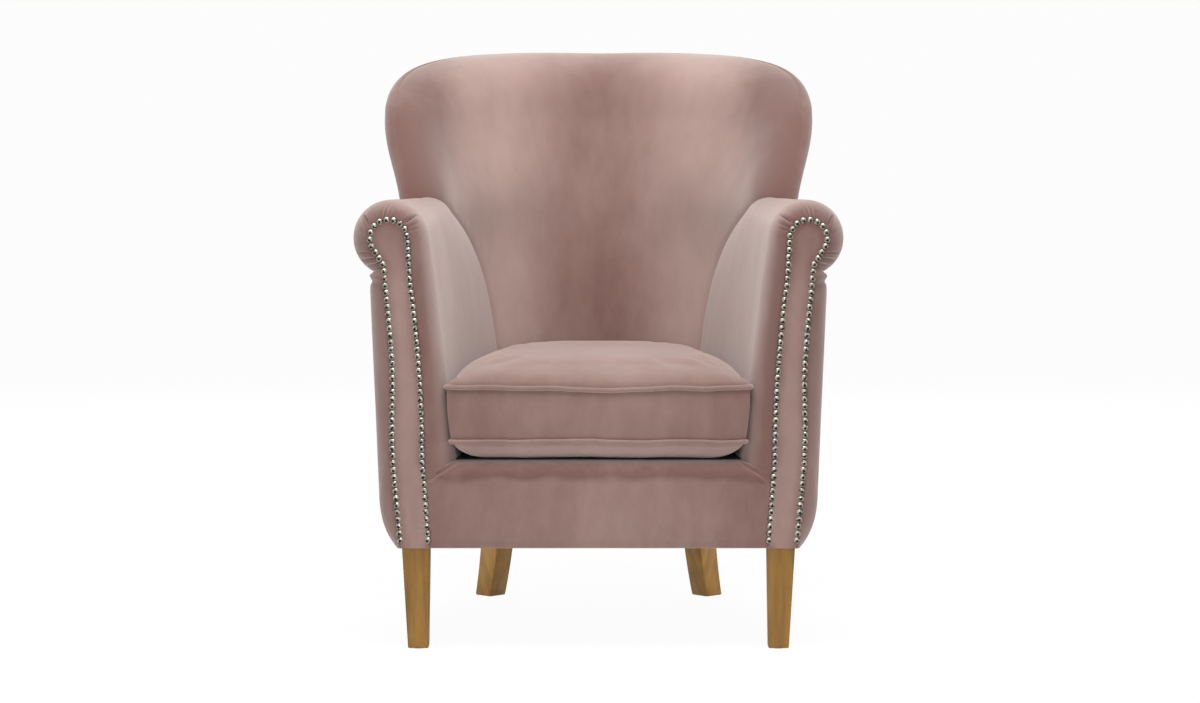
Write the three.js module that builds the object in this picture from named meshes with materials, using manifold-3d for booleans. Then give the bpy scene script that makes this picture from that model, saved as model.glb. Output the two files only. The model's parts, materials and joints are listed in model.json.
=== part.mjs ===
// Scallop back armchair: a small tub armchair with scroll arms, a raked barrel back, a loose
// box cushion with piped edges, nailed arm fronts and four tapered wooden legs.
// Millimetres. +X is to the right seen from the front, +Y to the back, +Z up. While the pieces are
// made, y is 0 on the plane of the arm fronts; the finished chair is centred on its own footprint.

import * as THREE from "three";
import { mergeVertices } from "three/addons/utils/BufferGeometryUtils.js";
import Module from "manifold-3d";

const wasm = await Module();
wasm.setup();

const { lerp, clamp, degToRad, smoothstep } = THREE.MathUtils;

// Overall sizes
const overallHeight = 911;
const overallHalfWidth = 369; // at the arm rolls
const hemBackDepth = 640; // from the arm fronts to the back of the hem
const hemHeight = 154; // lower edge of the upholstery
const deckHeight = 286; // top of the lined platform under the cushion
const gap = 0.3; // between pieces that touch

// Arms: section at the front, where the roll meets the wing and where the inner face meets the back
const rollHeight = 620;
const rollRise = 13; // of the roll towards the back
const rollHeightRear = rollHeight + rollRise;
const rollRadius = 57;
const rollRadiusRear = 40;
const rollCentreX = overallHalfWidth - rollRadius;
const rollTaper = 32;
const rollCentreXRear = rollCentreX - rollTaper;
const rollJoinAngle = 172; // degrees, where the inner face runs into the roll
const rollJoinAngleRear = 130;
const rollEndAngle = -62; // degrees, where the roll tucks in under itself
const rollJoinPull = 40;
const rollJoinPullRear = 90;
const innerLeanShare = 0.1; // sideways for each unit up at the foot of the inner face
const innerLeanLength = 116;
const innerLeanLengthRear = 184;
const outerFaceInset = 25; // from the edge of the roll in to the outer face
const outerArmHalfWidth = overallHalfWidth - outerFaceInset;
const outerFaceTaper = 27;
const outerArmHalfWidthRear = outerArmHalfWidth - outerFaceTaper;
const outerTuckDrop = 10; // from the tuck under the roll down to the full outer face
const outerBellyInset = 13;
const outerBellyHalfWidth = outerArmHalfWidth - outerBellyInset;
const outerBellyHeight = 237;
const outerHemInset = 39;
const outerHemHalfWidth = outerArmHalfWidth - outerHemInset;
const hemRoll = 28;
const innerPadThickness = 22;
const rollPadThickness = 14;
const outerArmThickness = 7;
const seamDrop = 2; // the outer panel starts this far under the tuck
const innerPadNose = 42; // depth of the rounded front edge of the arm pad
const outerPadNose = 28; // and of the outer panel
const frontPadThickness = 10;
const armEase = 1.5; // how late along its length the arm's section changes
const armRearInset = 123; // from the back of the hem to the rear end of the arms
const armLength = hemBackDepth - armRearInset;

// Nailed arm front: outline of the facing panel
const facingCentreShift = 2;
const facingCentreX = rollCentreX + facingCentreShift;
const facingRadius = 28;
const facingStartAngle = 172; // degrees
const facingEndAngle = -22;
const facingKneeInset = 31;
const facingKneeX = facingCentreX - facingKneeInset;
const facingKneeDrop = 60; // under the centre of the roll
const facingKneeHeight = rollHeight - facingKneeDrop;
const facingNeckShift = 7.5;
const facingNeckX = facingCentreX + facingNeckShift;
const facingNeckDrop = 40;
const facingNeckHeight = rollHeight - facingNeckDrop;
const facingNeckGap = 3;
const facingWaistInset = 5;
const facingWaistX = facingCentreX - facingWaistInset;
const facingWaistDrop = 190;
const facingWaistHeight = rollHeight - facingWaistDrop;
const facingBellyHeight = 300;
const facingHemTaper = 12;
const facingOuterHemX = facingWaistX - facingHemTaper;
const facingHemWidth = 41.5;
const facingHemX = facingOuterHemX - facingHemWidth;
const facingSeamLean = 9.5;
const facingSeamX = facingHemX + facingSeamLean;
const facingPuff = 2;
const facingBevel = 5;
const nailPitch = 10.7;
const nailHeadDiameter = 9.5;
const nailHeadHeight = 3.4;
const nailNeckWidth = 3.4;
const nailNeckHeight = 1.2;
const nailHemMargin = 7;
const armFootInset = 48; // the arm's foot stands this far in from the facing
const armFootHalfWidth = facingSeamX - armFootInset;
const armFootTaper = 62;
const armFootHalfWidthRear = armFootHalfWidth - armFootTaper;

// Back: plan ellipses about a middle surface that carries the frame
const hemTaper = 17;
const hemHalfWidth = outerHemHalfWidth - hemTaper;
const waistSwell = 12;
const waistHalfWidth = hemHalfWidth + waistSwell;
const waistHeight = 300;
const shoulderFlare = 31;
const shoulderHalfWidth = waistHalfWidth + shoulderFlare;
const shoulderHeight = 800;
const flareDrop = 155; // the flare starts this far under the shoulder
const flareHeight = shoulderHeight - flareDrop;
const barrelDepth = 290; // from the front edge of the wings to the back, at the hem
const wingDepth = hemBackDepth - barrelDepth;
const wingSweep = 100; // how far that edge has swept back at the shoulder
const wingFootDrop = 131; // the sweep starts this far under the shoulder
const wingFootHeight = shoulderHeight - wingFootDrop;
const wingSoftShare = 0.3; // of that drop, over which the sweep sets in
const backRake = 6; // degrees
const crestPower = 3; // the crest is a rounded arch, full at the shoulders
const crestRoot = 1 / 1.75;
const crestDip = 1.5;
const crestDipHalfWidth = 60;
const sidePadThickness = 58;
const lumbarPadThickness = 110;
const headPadThickness = 72;
const lumbarRise = 144;
const lumbarHeight = deckHeight + lumbarRise;
const edgeRollRadius = 58;
const outerBackThickness = 17;
const outerBackRoll = 16;
const memberThickness = 21.7; // curved boards of the back frame
const wrapNear = 16; // the pad lies on the outer panel this far in from its edge
const wrapFar = 36; // and clears the frame boards from here on
const wingPostWidth = 45;
const topRailWidth = 48;
const lowerRailRise = 14;
const lowerRailBottom = deckHeight + lowerRailRise;
const lowerRailWidth = 45;
const lowerRailTop = lowerRailBottom + lowerRailWidth;
const webbingThickness = 1.7;
const webbingWidth = 50;
const webbingShares = [0.13, 0.42, 0.7]; // of the height from the lower rail to the shoulder

// Platform: foam on a steel strip, springs and rails, under a lining cloth
const clothThickness = 1.6;
const platformFoamThickness = 15.9;
const clipThickness = 1.7;
const clipWidth = 15;
const clipInset = 4;
const springWire = 3.6;
const springCount = 5;
const springSideRoom = 83; // from the side rail to the middle of the outer spring
const springHalfWidth = 24;
const springPitch = 27;
const foamTop = deckHeight - clothThickness - gap;
const foamBottom = foamTop - platformFoamThickness;
const stripBottom = foamBottom - gap - clipThickness;
const springBottom = stripBottom - gap - springWire;
const railTop = springBottom - gap;

// Seat frame and front border
const frameRaise = 3; // over the hem
const frameBottom = hemHeight + frameRaise;
const frontRailThickness = 24;
const frontRailY = 18;
const sideRailInset = 9;
const sideRailOuter = hemHalfWidth - sideRailInset;
const sideRailThickness = 24;
const postInset = 2.5;
const postHemX = facingHemX + postInset;
const postTopInset = 37;
const postTopX = facingCentreX - postTopInset;
const postWidth = 36;
const postThickness = 32;
const armRailWidth = 22;
const armRailOverPost = 7; // inner face of the rail in from the inner face of the post top
const armRailRise = 20;
const armRailTop = rollHeight + armRailRise;
const armRailRearHeight = 40;
const borderHemY = 4;
const borderRoll = 22;
const cornerBlockSize = 48;
const cornerBlockRaise = 13;
const blockDrop = 30; // from the top of the rails down to the corner blocks
const rearBlockSize = 74;
const dustCoverThickness = 1.4;
const dustCoverMargin = 2.5;

// Legs
const plateThickness = 2.4;
const plateSize = 34;
const plateRoom = 1.5;
const studRadius = 4;
const studDown = 35;
const studUp = 32;
const frontLegInset = 19.5;
const frontLegX = facingHemX + frontLegInset;
const frontLegY = 27.5;
const frontLegTop = 42;
const frontLegFoot = 31;
const frontLegToeIn = 3;
const rearLegAngle = 40; // degrees round the barrel from the middle of the back
const rearLegInset = 31; // from the middle surface of the back in to the leg
const rearLegTop = 41;
const rearLegFoot = 36;
const rearLegTurn = 43; // degrees
const rearLegOut = 17;
const rearLegBack = 58;
const sabrePower = 1.6;
const legEdge = 2.5;
const glideRadius = 11;
const glideThickness = 2.7;

// Loose cushion
const cushionFront = 6;
const cushionFrontRoom = 34; // beside its front, to the seam of the arm front
const cushionFrontHalfWidth = facingSeamX - cushionFrontRoom;
const cushionRearInset = 100;
const cushionRear = hemBackDepth - cushionRearInset;
const cushionRearShare = 1.1; // of the back's half width at the waist
const cushionRearRadius = waistHalfWidth * cushionRearShare;
const cushionClearance = 2.5;
const cushionFrontCorner = 12;
const cushionRearCorner = 12;
const lowerWeltRise = 30;
const lowerWeltHeight = deckHeight + lowerWeltRise;
const cushionBoxing = 82; // between the two lines of piping
const upperWeltHeight = lowerWeltHeight + cushionBoxing;
const crownHeight = 36;
const crownPower = 3.4;
const underCrownPower = 8;
const coverThickness = 2;
const pipingRadius = 3.2;
const seamPlay = 1.2; // between the piping and the covers
const borderThickness = 2;
const borderBulge = 3;
const zipHalfAngle = 20; // degrees about the centre of the rear arc
const zipWidth = 7;
const zipThickness = 1.2;
const sliderLength = 10;
const sliderWidth = 8;
const sliderThickness = 2.2;
const pullLength = 18;
const pullWidth = 5;
const pullThickness = 1.2;

const weldDistance = 1e-4; // points closer than this are one
const over = 5; // how far a cutting shape runs past what it cuts

// Numbers of steps in the meshes
const edgeSteps = 2;
const backSteps = 12;
const riseSteps = 5;
const boardSteps = 8;
const postSteps = 2;
const innerCount = 5;
const rollCount = 12;
const upperCount = 3;
const lowerCount = 4;
const roundSteps = 12;
const pipeSides = 5;
const springSides = 4;
const cushionSideSteps = 5;
const cushionArcSteps = 4; // half way round the rear of the cushion
const cushionFrontSteps = 2; // half way along its front
const cushionCornerSteps = 2;
const bulgeSteps = 4;

const velvet = new THREE.MeshStandardMaterial({ color: 0xa38680, roughness: 0.9, metalness: 0 });
const lining = new THREE.MeshStandardMaterial({ color: 0x111012, roughness: 0.95, metalness: 0 });
const foam = new THREE.MeshStandardMaterial({ color: 0xe6dcb8, roughness: 1, metalness: 0 });
const timber = new THREE.MeshStandardMaterial({ color: 0xc9a877, roughness: 0.8, metalness: 0 });
const legWood = new THREE.MeshStandardMaterial({ color: 0xa3753a, roughness: 0.45, metalness: 0 });
const strapping = new THREE.MeshStandardMaterial({ color: 0x2b2a2c, roughness: 0.9, metalness: 0 });
const nickel = new THREE.MeshStandardMaterial({ color: 0xb9b6a6, roughness: 0.3, metalness: 1 });
const steel = new THREE.MeshStandardMaterial({ color: 0x8f9296, roughness: 0.4, metalness: 1 });
const nylon = new THREE.MeshStandardMaterial({ color: 0x4a3a2c, roughness: 0.6, metalness: 0 });

const chair = new THREE.Group();

function add(name, geometry, material) {
  const mesh = new THREE.Mesh(geometry, material);
  mesh.name = name;
  chair.add(mesh);
  return mesh;
}

const at = (x, y, z) => new THREE.Vector3(x, y, z);

// Six times the signed volume, positive when the faces point outwards
function signedVolume(points, index) {
  let sum = 0;
  for (let i = 0; i < index.length; i += 3) {
    const [a, b, c] = [points[index[i]], points[index[i + 1]], points[index[i + 2]]];
    sum += a.dot(b.clone().cross(c));
  }
  return sum;
}

// Closed geometry from points and triangles, merged and turned to face outwards
function closedGeometry(points, index) {
  const outward = signedVolume(points, index) > 0;
  const turned = [];
  for (let i = 0; i < index.length; i += 3) {
    const [a, b, c] = index.slice(i, i + 3);
    turned.push(a, ...(outward ? [b, c] : [c, b]));
  }
  const raw = new THREE.BufferGeometry().setFromPoints(points);
  raw.setIndex(turned);
  const merged = mergeVertices(raw, weldDistance);
  const kept = [];
  const all = merged.index.array;
  for (let i = 0; i < all.length; i += 3) {
    const [a, b, c] = [all[i], all[i + 1], all[i + 2]];
    if (a !== b && b !== c && c !== a) kept.push(a, b, c);
  }
  merged.setIndex(kept);
  return merged;
}

// A slab between two grids of points, with walls round the four edges
function slab(front, back) {
  const rows = front.length;
  const cols = front[0].length;
  const points = [...front.flat(), ...back.flat()];
  const id = (side, i, j) => side * rows * cols + i * cols + j;
  const index = [];
  const quad = (a, b, c, d) => index.push(a, b, c, a, c, d);
  const flipped = (a, b, c, d) => index.push(a, b, d, b, c, d);
  for (let i = 0; i + 1 < rows; i++) {
    const face = 2 * i + 1 < rows ? quad : flipped;
    const under = 2 * i + 1 < rows ? flipped : quad;
    for (let j = 0; j + 1 < cols; j++) {
      face(id(0, i, j), id(0, i + 1, j), id(0, i + 1, j + 1), id(0, i, j + 1));
      under(id(1, i + 1, j), id(1, i, j), id(1, i, j + 1), id(1, i + 1, j + 1));
    }
    const last = cols - 1;
    quad(id(0, i, 0), id(1, i, 0), id(1, i + 1, 0), id(0, i + 1, 0));
    quad(id(0, i, last), id(0, i + 1, last), id(1, i + 1, last), id(1, i, last));
  }
  for (let j = 0; j + 1 < cols; j++) {
    const last = rows - 1;
    quad(id(0, 0, j), id(0, 0, j + 1), id(1, 0, j + 1), id(1, 0, j));
    quad(id(0, last, j), id(1, last, j), id(1, last, j + 1), id(0, last, j + 1));
  }
  return closedGeometry(points, index);
}

// Triangles that fill a flat ring, turned the way the ring runs
function capFaces(ring) {
  const normal = new THREE.Vector3();
  ring.forEach((p, i) => normal.add(p.clone().cross(ring[(i + 1) % ring.length])));
  const size = [Math.abs(normal.x), Math.abs(normal.y), Math.abs(normal.z)];
  const drop = size.indexOf(Math.max(...size));
  const [u, v] = [["y", "z"], ["x", "z"], ["x", "y"]][drop];
  const flat = ring.map((p) => new THREE.Vector2(p[u], p[v]));
  const turn = Math.sign(THREE.ShapeUtils.area(flat));
  return THREE.ShapeUtils.triangulateShape(flat, []).map((f) => {
    const area = THREE.ShapeUtils.area(f.map((k) => flat[k]));
    return Math.sign(area) === turn ? f : [f[0], f[2], f[1]];
  });
}

// A solid through rings of points; with around set, the last ring joins the first
function loft(rings, around = false) {
  const n = rings[0].length;
  const points = rings.flat();
  const index = [];
  const count = around ? rings.length : rings.length - 1;
  for (let k = 0; k < count; k++) {
    const [here, next] = [k * n, ((k + 1) % rings.length) * n];
    for (let i = 0; i < n; i++) {
      const j = (i + 1) % n;
      const [a, b, c, d] = [here + i, here + j, next + j, next + i];
      const short = points[a].distanceTo(points[c]) < points[b].distanceTo(points[d]);
      index.push(...(short ? [a, b, c, a, c, d] : [a, b, d, b, c, d]));
    }
  }
  if (!around) {
    const last = (rings.length - 1) * n;
    capFaces(rings[0]).forEach(([a, b, c]) => index.push(a, c, b));
    capFaces(rings.at(-1)).forEach(([a, b, c]) => index.push(last + a, last + b, last + c));
  }
  return closedGeometry(points, index);
}

// A plan outline carried from one height to another
const upright = (outline, bottom, top) =>
  loft([bottom, top].map((z) => outline.map(([x, y]) => at(x, y, z))));

// An outline seen from the front carried from one depth to another
const frontal = (outline, front, back) =>
  loft([front, back].map((y) => outline.map((p) => at(p.x, y, p.y))));

function block(x0, x1, y0, y1, z0, z1) {
  const box = new THREE.BoxGeometry(x1 - x0, y1 - y0, z1 - z0);
  return box.translate((x0 + x1) / 2, (y0 + y1) / 2, (z0 + z1) / 2);
}

function solidOf(geometry) {
  const bare = new THREE.BufferGeometry();
  bare.setAttribute("position", geometry.getAttribute("position"));
  if (geometry.index) bare.setIndex(geometry.index);
  const merged = mergeVertices(bare, weldDistance);
  return new wasm.Manifold(
    new wasm.Mesh({
      numProp: 3,
      vertProperties: new Float32Array(merged.attributes.position.array),
      triVerts: new Uint32Array(merged.index.array),
    }),
  );
}

function geometryOf(solid) {
  const mesh = solid.getMesh();
  const geometry = new THREE.BufferGeometry();
  const position = new Float32Array(mesh.vertProperties);
  geometry.setAttribute("position", new THREE.BufferAttribute(position, 3));
  geometry.setIndex(new THREE.BufferAttribute(new Uint32Array(mesh.triVerts), 1));
  return geometry;
}

const cut = (geometry, ...tools) =>
  geometryOf(tools.reduce((left, tool) => left.subtract(solidOf(tool)), solidOf(geometry)));

const fuse = (first, ...others) =>
  geometryOf(others.reduce((sum, other) => sum.add(solidOf(other)), solidOf(first)));

const common = (a, b) => geometryOf(solidOf(a).intersect(solidOf(b)));

// The same piece on the other side of the chair
function mirrored(geometry) {
  const other = geometry.index ? geometry.clone() : mergeVertices(geometry.clone());
  const place = other.getAttribute("position");
  for (let i = 0; i < place.count; i++) place.setX(i, -place.getX(i));
  const index = Array.from(other.index.array);
  for (let i = 0; i < index.length; i += 3) {
    [index[i + 1], index[i + 2]] = [index[i + 2], index[i + 1]];
  }
  other.setIndex(index);
  return other;
}

function addPair(name, geometry, material) {
  add("right_" + name, geometry, material);
  add("left_" + name, mirrored(geometry), material);
}

const quarter = Math.PI / 2;
const fullTurn = 2 * Math.PI;

const steps = (count) => Array.from({ length: count + 1 }, (_, i) => i / count);

// Back

// 0 well below, then rising by 1 for each unit, with a soft start
const softRamp = (t) => (t + Math.hypot(t, wingSoftShare)) / 2;

const backHalfWidth = (z) =>
  hemHalfWidth +
  (waistHalfWidth - hemHalfWidth) * smoothstep(z, hemHeight, waistHeight) +
  (shoulderHalfWidth - waistHalfWidth) * smoothstep(z, flareHeight, shoulderHeight);

const wingFrontDepth = (z) =>
  wingDepth + wingSweep * softRamp((z - wingFootHeight) / wingFootDrop);

const backDepth = (z) => hemBackDepth + (z - hemHeight) * Math.tan(degToRad(backRake));

// A point off the back's middle surface, at an angle round the barrel from its centre line
// and an offset towards the sitter
function backPoint(angle, z, offset) {
  const a = backHalfWidth(z);
  const front = wingFrontDepth(z);
  const b = backDepth(z) - front;
  const out = new THREE.Vector2(Math.sin(angle) / a, Math.cos(angle) / b).normalize();
  return at(
    a * Math.sin(angle) - out.x * offset,
    front + b * Math.cos(angle) - out.y * offset,
    z,
  );
}

// Height of the crest at an angle round the barrel
function crestHeight(angle) {
  const t = Math.min(1, Math.abs(angle) / quarter);
  const arch = (1 - t ** crestPower) ** crestRoot;
  const x = shoulderHalfWidth * Math.sin(angle);
  const dip = crestDip * Math.exp(-((x / crestDipHalfWidth) ** 2));
  return shoulderHeight + (overallHeight - shoulderHeight) * arch - dip;
}

const wingArc = (z) => backDepth(z) - wingFrontDepth(z);
const inFromWing = (angle, z) => (quarter - Math.abs(angle)) * wingArc(z);
const inFromCrest = (angle, z) => crestHeight(angle) - z;

function roundness(distance, radius) {
  const t = 1 - clamp(distance / radius, 0, 1);
  return Math.sqrt(1 - t * t);
}

function padThickness(angle, z) {
  const rise = clamp((z - lumbarHeight) / (shoulderHeight - lumbarHeight), 0, 1);
  const centre = lerp(lumbarPadThickness, headPadThickness, rise);
  return lerp(sidePadThickness, centre, Math.cos(angle) ** 2);
}

// How far the front of the inner back stands off the middle surface
const innerBackOffset = (angle, z) =>
  padThickness(angle, z) *
  roundness(inFromWing(angle, z), edgeRollRadius) *
  roundness(inFromCrest(angle, z), edgeRollRadius);

const strapBack = memberThickness + gap;
const pocketDepth = strapBack + webbingThickness + gap;

// How far the back of the pad stands off the middle surface, over the frame boards
const padSeatOffset = (angle, z) => {
  const inward = Math.min(inFromWing(angle, z), inFromCrest(angle, z));
  return pocketDepth * smoothstep(inward, wrapNear, wrapFar);
};

const outerBackOffset = (angle, z) => {
  const rolls =
    roundness(inFromWing(angle, z), outerBackRoll) *
    roundness(inFromCrest(angle, z), outerBackRoll) *
    roundness(z - hemHeight, outerBackRoll);
  return -gap - outerBackThickness * rolls;
};

// Distances in from the rolled edges at which every layer of the back has a line of points
const edgeDistances = [
  ...steps(edgeSteps).map((t) => outerBackRoll * (1 - Math.cos(t * quarter))),
  lerp(wrapNear, wrapFar, 1 / 2),
  wrapFar,
  edgeRollRadius,
];

const padBottom = deckHeight + gap;
const hemLevels = edgeDistances.slice(0, edgeSteps + 1).map((d) => hemHeight + d);

// Angles round the barrel, closer together at the wing edges
const barrelAngles = (() => {
  const side = edgeDistances.map((d) => quarter - d / wingArc(shoulderHeight));
  const limit = side.at(-1);
  const inner = steps(backSteps).slice(1, -1).map((t) => lerp(limit, -limit, t));
  return [...side, ...inner, ...side.map((a) => -a).reverse()];
})();

// Heights up the back at one angle, closer together at the hem and at the crest
function backLevels(angle) {
  const top = crestHeight(angle);
  const crest = edgeDistances.map((d) => top - d).reverse();
  const rise = steps(riseSteps).slice(0, -1).map((t) => lerp(padBottom, crest[0], t));
  return [...hemLevels, ...rise, ...crest];
}

// A sheet of points at an offset from the middle surface
function backSheet(offset, angles = barrelAngles, from = 0, to = undefined) {
  return angles.map((angle) =>
    backLevels(angle).slice(from, to).map((z) => backPoint(angle, z, offset(angle, z))),
  );
}

const wrapLines = edgeDistances.indexOf(wrapFar);

// The layer between two offsets, clear of the rolled edges, that the frame is cut from
function frameLayer(near, far) {
  const angles = barrelAngles.slice(wrapLines, -wrapLines);
  const last = -wrapLines;
  return slab(backSheet(() => far, angles, 0, last), backSheet(() => near, angles, 0, last));
}

// A cutting shape across the whole depth of the back, between two angles and two edges
function backRegion(angles, low, high) {
  const sheet = (offset) =>
    angles.map((angle) =>
      steps(riseSteps).map((t) => backPoint(angle, lerp(low(angle), high(angle), t), offset)),
    );
  return slab(sheet(pocketDepth + over), sheet(-over));
}

// The space inside the back below the pad, at an offset from the middle surface
function insideBack(offset) {
  const rings = [...hemLevels, padBottom].map((z) =>
    barrelAngles.map((angle) => backPoint(angle, z, offset)).concat([
      at(-backHalfWidth(z) + offset, 0, z),
      at(backHalfWidth(z) - offset, 0, z),
    ]),
  );
  return loft(rings);
}

// Arms

// The arm's section at a depth, as sizes
function armSizes(y) {
  const ease = clamp(y / armLength, 0, 1) ** armEase;
  const toWing = clamp((y - innerPadNose) / (wingDepth - innerPadNose), 0, 1);
  return {
    footX: lerp(armFootHalfWidth, armFootHalfWidthRear, ease),
    leanLength: lerp(innerLeanLength, innerLeanLengthRear, ease),
    joinAngle: degToRad(lerp(rollJoinAngle, rollJoinAngleRear, ease)),
    joinPull: lerp(rollJoinPull, rollJoinPullRear, ease),
    rollX: lerp(rollCentreX, rollCentreXRear, toWing),
    rollZ: lerp(rollHeight, rollHeightRear, toWing),
    radius: lerp(rollRadius, rollRadiusRear, toWing),
    outerX: lerp(outerArmHalfWidth, outerArmHalfWidthRear, toWing),
    bellyX: lerp(outerBellyHalfWidth, outerArmHalfWidthRear, toWing),
    hemX: lerp(outerHemHalfWidth, hemHalfWidth, toWing),
  };
}

const polar = (x, z, radius, angle) =>
  new THREE.Vector2(x + radius * Math.cos(angle), z + radius * Math.sin(angle));

// Inner face and roll of the arm's section, from the platform up and over to the tuck
function innerArmLine(y, insetInner = 0, insetRoll = 0) {
  const s = armSizes(y);
  const radius = s.radius - insetRoll;
  const foot = new THREE.Vector2(s.footX + insetInner, padBottom);
  const lean = new THREE.Vector2(innerLeanShare, 1).multiplyScalar(s.leanLength);
  const join = polar(s.rollX, s.rollZ, radius, s.joinAngle);
  const pull = new THREE.Vector2(Math.sin(s.joinAngle), -Math.cos(s.joinAngle));
  const face = new THREE.CubicBezierCurve(
    foot,
    foot.clone().add(lean),
    join.clone().sub(pull.multiplyScalar(s.joinPull)),
    join,
  );
  const end = degToRad(rollEndAngle);
  const roll = steps(rollCount).map((t) =>
    polar(s.rollX, s.rollZ, radius, lerp(s.joinAngle, end, t)),
  );
  return [...face.getPoints(innerCount).slice(0, -1), ...roll];
}

// Outer face of the arm's section, from under the roll down to the hem
function outerArmLine(y, inset = 0) {
  const s = armSizes(y);
  const tuck = polar(s.rollX - inset, s.rollZ - seamDrop, s.radius, degToRad(rollEndAngle));
  const top = new THREE.Vector2(s.outerX - inset, tuck.y - outerTuckDrop);
  const belly = new THREE.Vector2(s.bellyX - inset, outerBellyHeight);
  const corner = new THREE.Vector2(s.bellyX - inset, hemHeight + hemRoll);
  const hem = new THREE.Vector2(s.hemX - inset, hemHeight);
  const upper = steps(upperCount).map((t) => top.clone().lerp(belly, t));
  const lower = new THREE.QuadraticBezierCurve(belly, corner, hem).getPoints(lowerCount);
  return [tuck, ...upper, ...lower.slice(1)];
}

// The same two lines on the nailed outline of the arm front
function innerFacingLine() {
  const start = degToRad(facingStartAngle);
  const end = degToRad(facingEndAngle);
  const bulb = (angle) => polar(facingCentreX, rollHeight, facingRadius, angle);
  const seam = new THREE.Vector2(facingSeamX, padBottom);
  const knee = new THREE.Vector2(facingKneeX, facingKneeHeight);
  const pull = knee.clone().lerp(seam, 1 / 2).setX(facingSeamX);
  const face = new THREE.QuadraticBezierCurve(seam, pull, knee);
  const stem = new THREE.LineCurve(knee, bulb(start));
  const path = new THREE.CurvePath();
  const turn = steps(rollCount).map((t) => bulb(lerp(start, end, t)));
  turn.slice(1).forEach((p, i) => path.add(new THREE.LineCurve(turn[i], p)));
  path.add(new THREE.LineCurve(turn.at(-1), new THREE.Vector2(facingNeckX, facingNeckHeight)));
  const lower = face.getPoints(innerCount - 1);
  return [...lower.slice(0, -1), stem.getPoint(1 / 3), ...path.getSpacedPoints(rollCount)];
}

function outerFacingLine() {
  const points = [
    new THREE.Vector2(facingNeckX, facingNeckHeight - facingNeckGap),
    new THREE.Vector2(facingWaistX, facingWaistHeight),
    new THREE.Vector2(facingWaistX, facingBellyHeight),
    new THREE.Vector2(facingOuterHemX, hemHeight),
  ];
  return new THREE.SplineCurve(points).getSpacedPoints(1 + upperCount + lowerCount);
}

const innerHem = new THREE.Vector2(facingHemX, hemHeight);

// Half the free width between the arms at a depth and height
function innerHalfWidth(y, z) {
  const line = innerArmLine(y);
  const k = Math.max(1, line.findIndex((p) => p.y >= z));
  return lerp(line[k - 1].x, line[k].x, (z - line[k - 1].y) / (line[k].y - line[k - 1].y));
}

const noseShares = [0, 0.3, 0.55, 0.8, 1];
const cornerShares = [0, 0.5, 1, 1, 1];
const cornerDepthShares = [0, 0, 0, 0.5, 1];

// An arm piece: the rounded front from the nailed outline out to the full section, then sections
// back along the arm. The under side starts square behind the nailed edge.
function armShell(outline, section, under, nose, depths) {
  const seat = frontPadThickness - gap;
  const full = section(nose);
  const innerFull = under(nose);
  const skin = noseShares.map((share) => {
    const angle = share * quarter;
    const y = nose * (1 - Math.cos(angle));
    return outline.map((p, i) => at(p.x, y, p.y).lerp(at(full[i].x, y, full[i].y), Math.sin(angle)));
  });
  const back = noseShares.map((share, k) => {
    const y = lerp(seat, nose, cornerDepthShares[k]);
    return outline.map((p, i) =>
      at(p.x, y, p.y).lerp(at(innerFull[i].x, y, innerFull[i].y), cornerShares[k]),
    );
  });
  depths.forEach((y) => {
    skin.push(section(y).map((p) => at(p.x, y, p.y)));
    back.push(under(y).map((p) => at(p.x, y, p.y)));
  });
  return slab(skin, back);
}

// Everything behind the front of the back pad, to cut what runs into it
function backEnvelope(extra) {
  const from = hemLevels.length - 1;
  const front = backSheet((angle, z) => innerBackOffset(angle, z) + extra, barrelAngles, from);
  const rear = backSheet(() => -2 * edgeRollRadius, barrelAngles, from);
  return slab(front, rear).translate(0, -extra, 0);
}

const padDepthShares = [0.25, 0.45, 0.62, 0.75, 0.88, 1];

function armPad() {
  const depths = padDepthShares.map((share) => share * armLength);
  const under = (y) => innerArmLine(y, innerPadThickness, rollPadThickness);
  const whole = armShell(innerFacingLine(), innerArmLine, under, innerPadNose, depths);
  return cut(whole, backEnvelope(gap));
}

// The hollow inside an arm where its frame meets the back. Past its widest point the roll is
// taken straight down.
function armHollow() {
  const rings = [wingDepth - edgeRollRadius, armLength + edgeRollRadius].map((y) => {
    const line = innerArmLine(y, innerPadThickness + gap, rollPadThickness + gap);
    const kept = line.map((p, i) => {
      const widest = Math.max(...line.slice(0, i + 1).map((q) => q.x));
      return new THREE.Vector2(widest, p.y);
    });
    const beside = kept.at(-1).clone().setX(outerArmHalfWidth + over);
    const below = beside.clone().setY(padBottom - over);
    const foot = line[0].clone().setY(padBottom - over);
    return [foot, ...kept, beside, below].map((p) => at(p.x, y, p.y));
  });
  return loft(rings);
}

const outerDepthShares = [0.35, 0.7, 1];

function outerArmPanel() {
  const depths = outerDepthShares.map((share) => share * (wingDepth - gap));
  const under = (y) => outerArmLine(y, outerArmThickness);
  return armShell(outerFacingLine(), outerArmLine, under, outerPadNose, depths);
}

// A flat outline moved in by a distance
function insetOutline(ring, distance) {
  const turn = Math.sign(THREE.ShapeUtils.area(ring));
  return ring.map((p, i) => {
    const before = p.clone().sub(ring.at(i - 1)).normalize();
    const after = ring[(i + 1) % ring.length].clone().sub(p).normalize();
    const mean = before.add(after).normalize();
    return new THREE.Vector2(p.x - mean.y * distance * turn, p.y + mean.x * distance * turn);
  });
}

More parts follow.
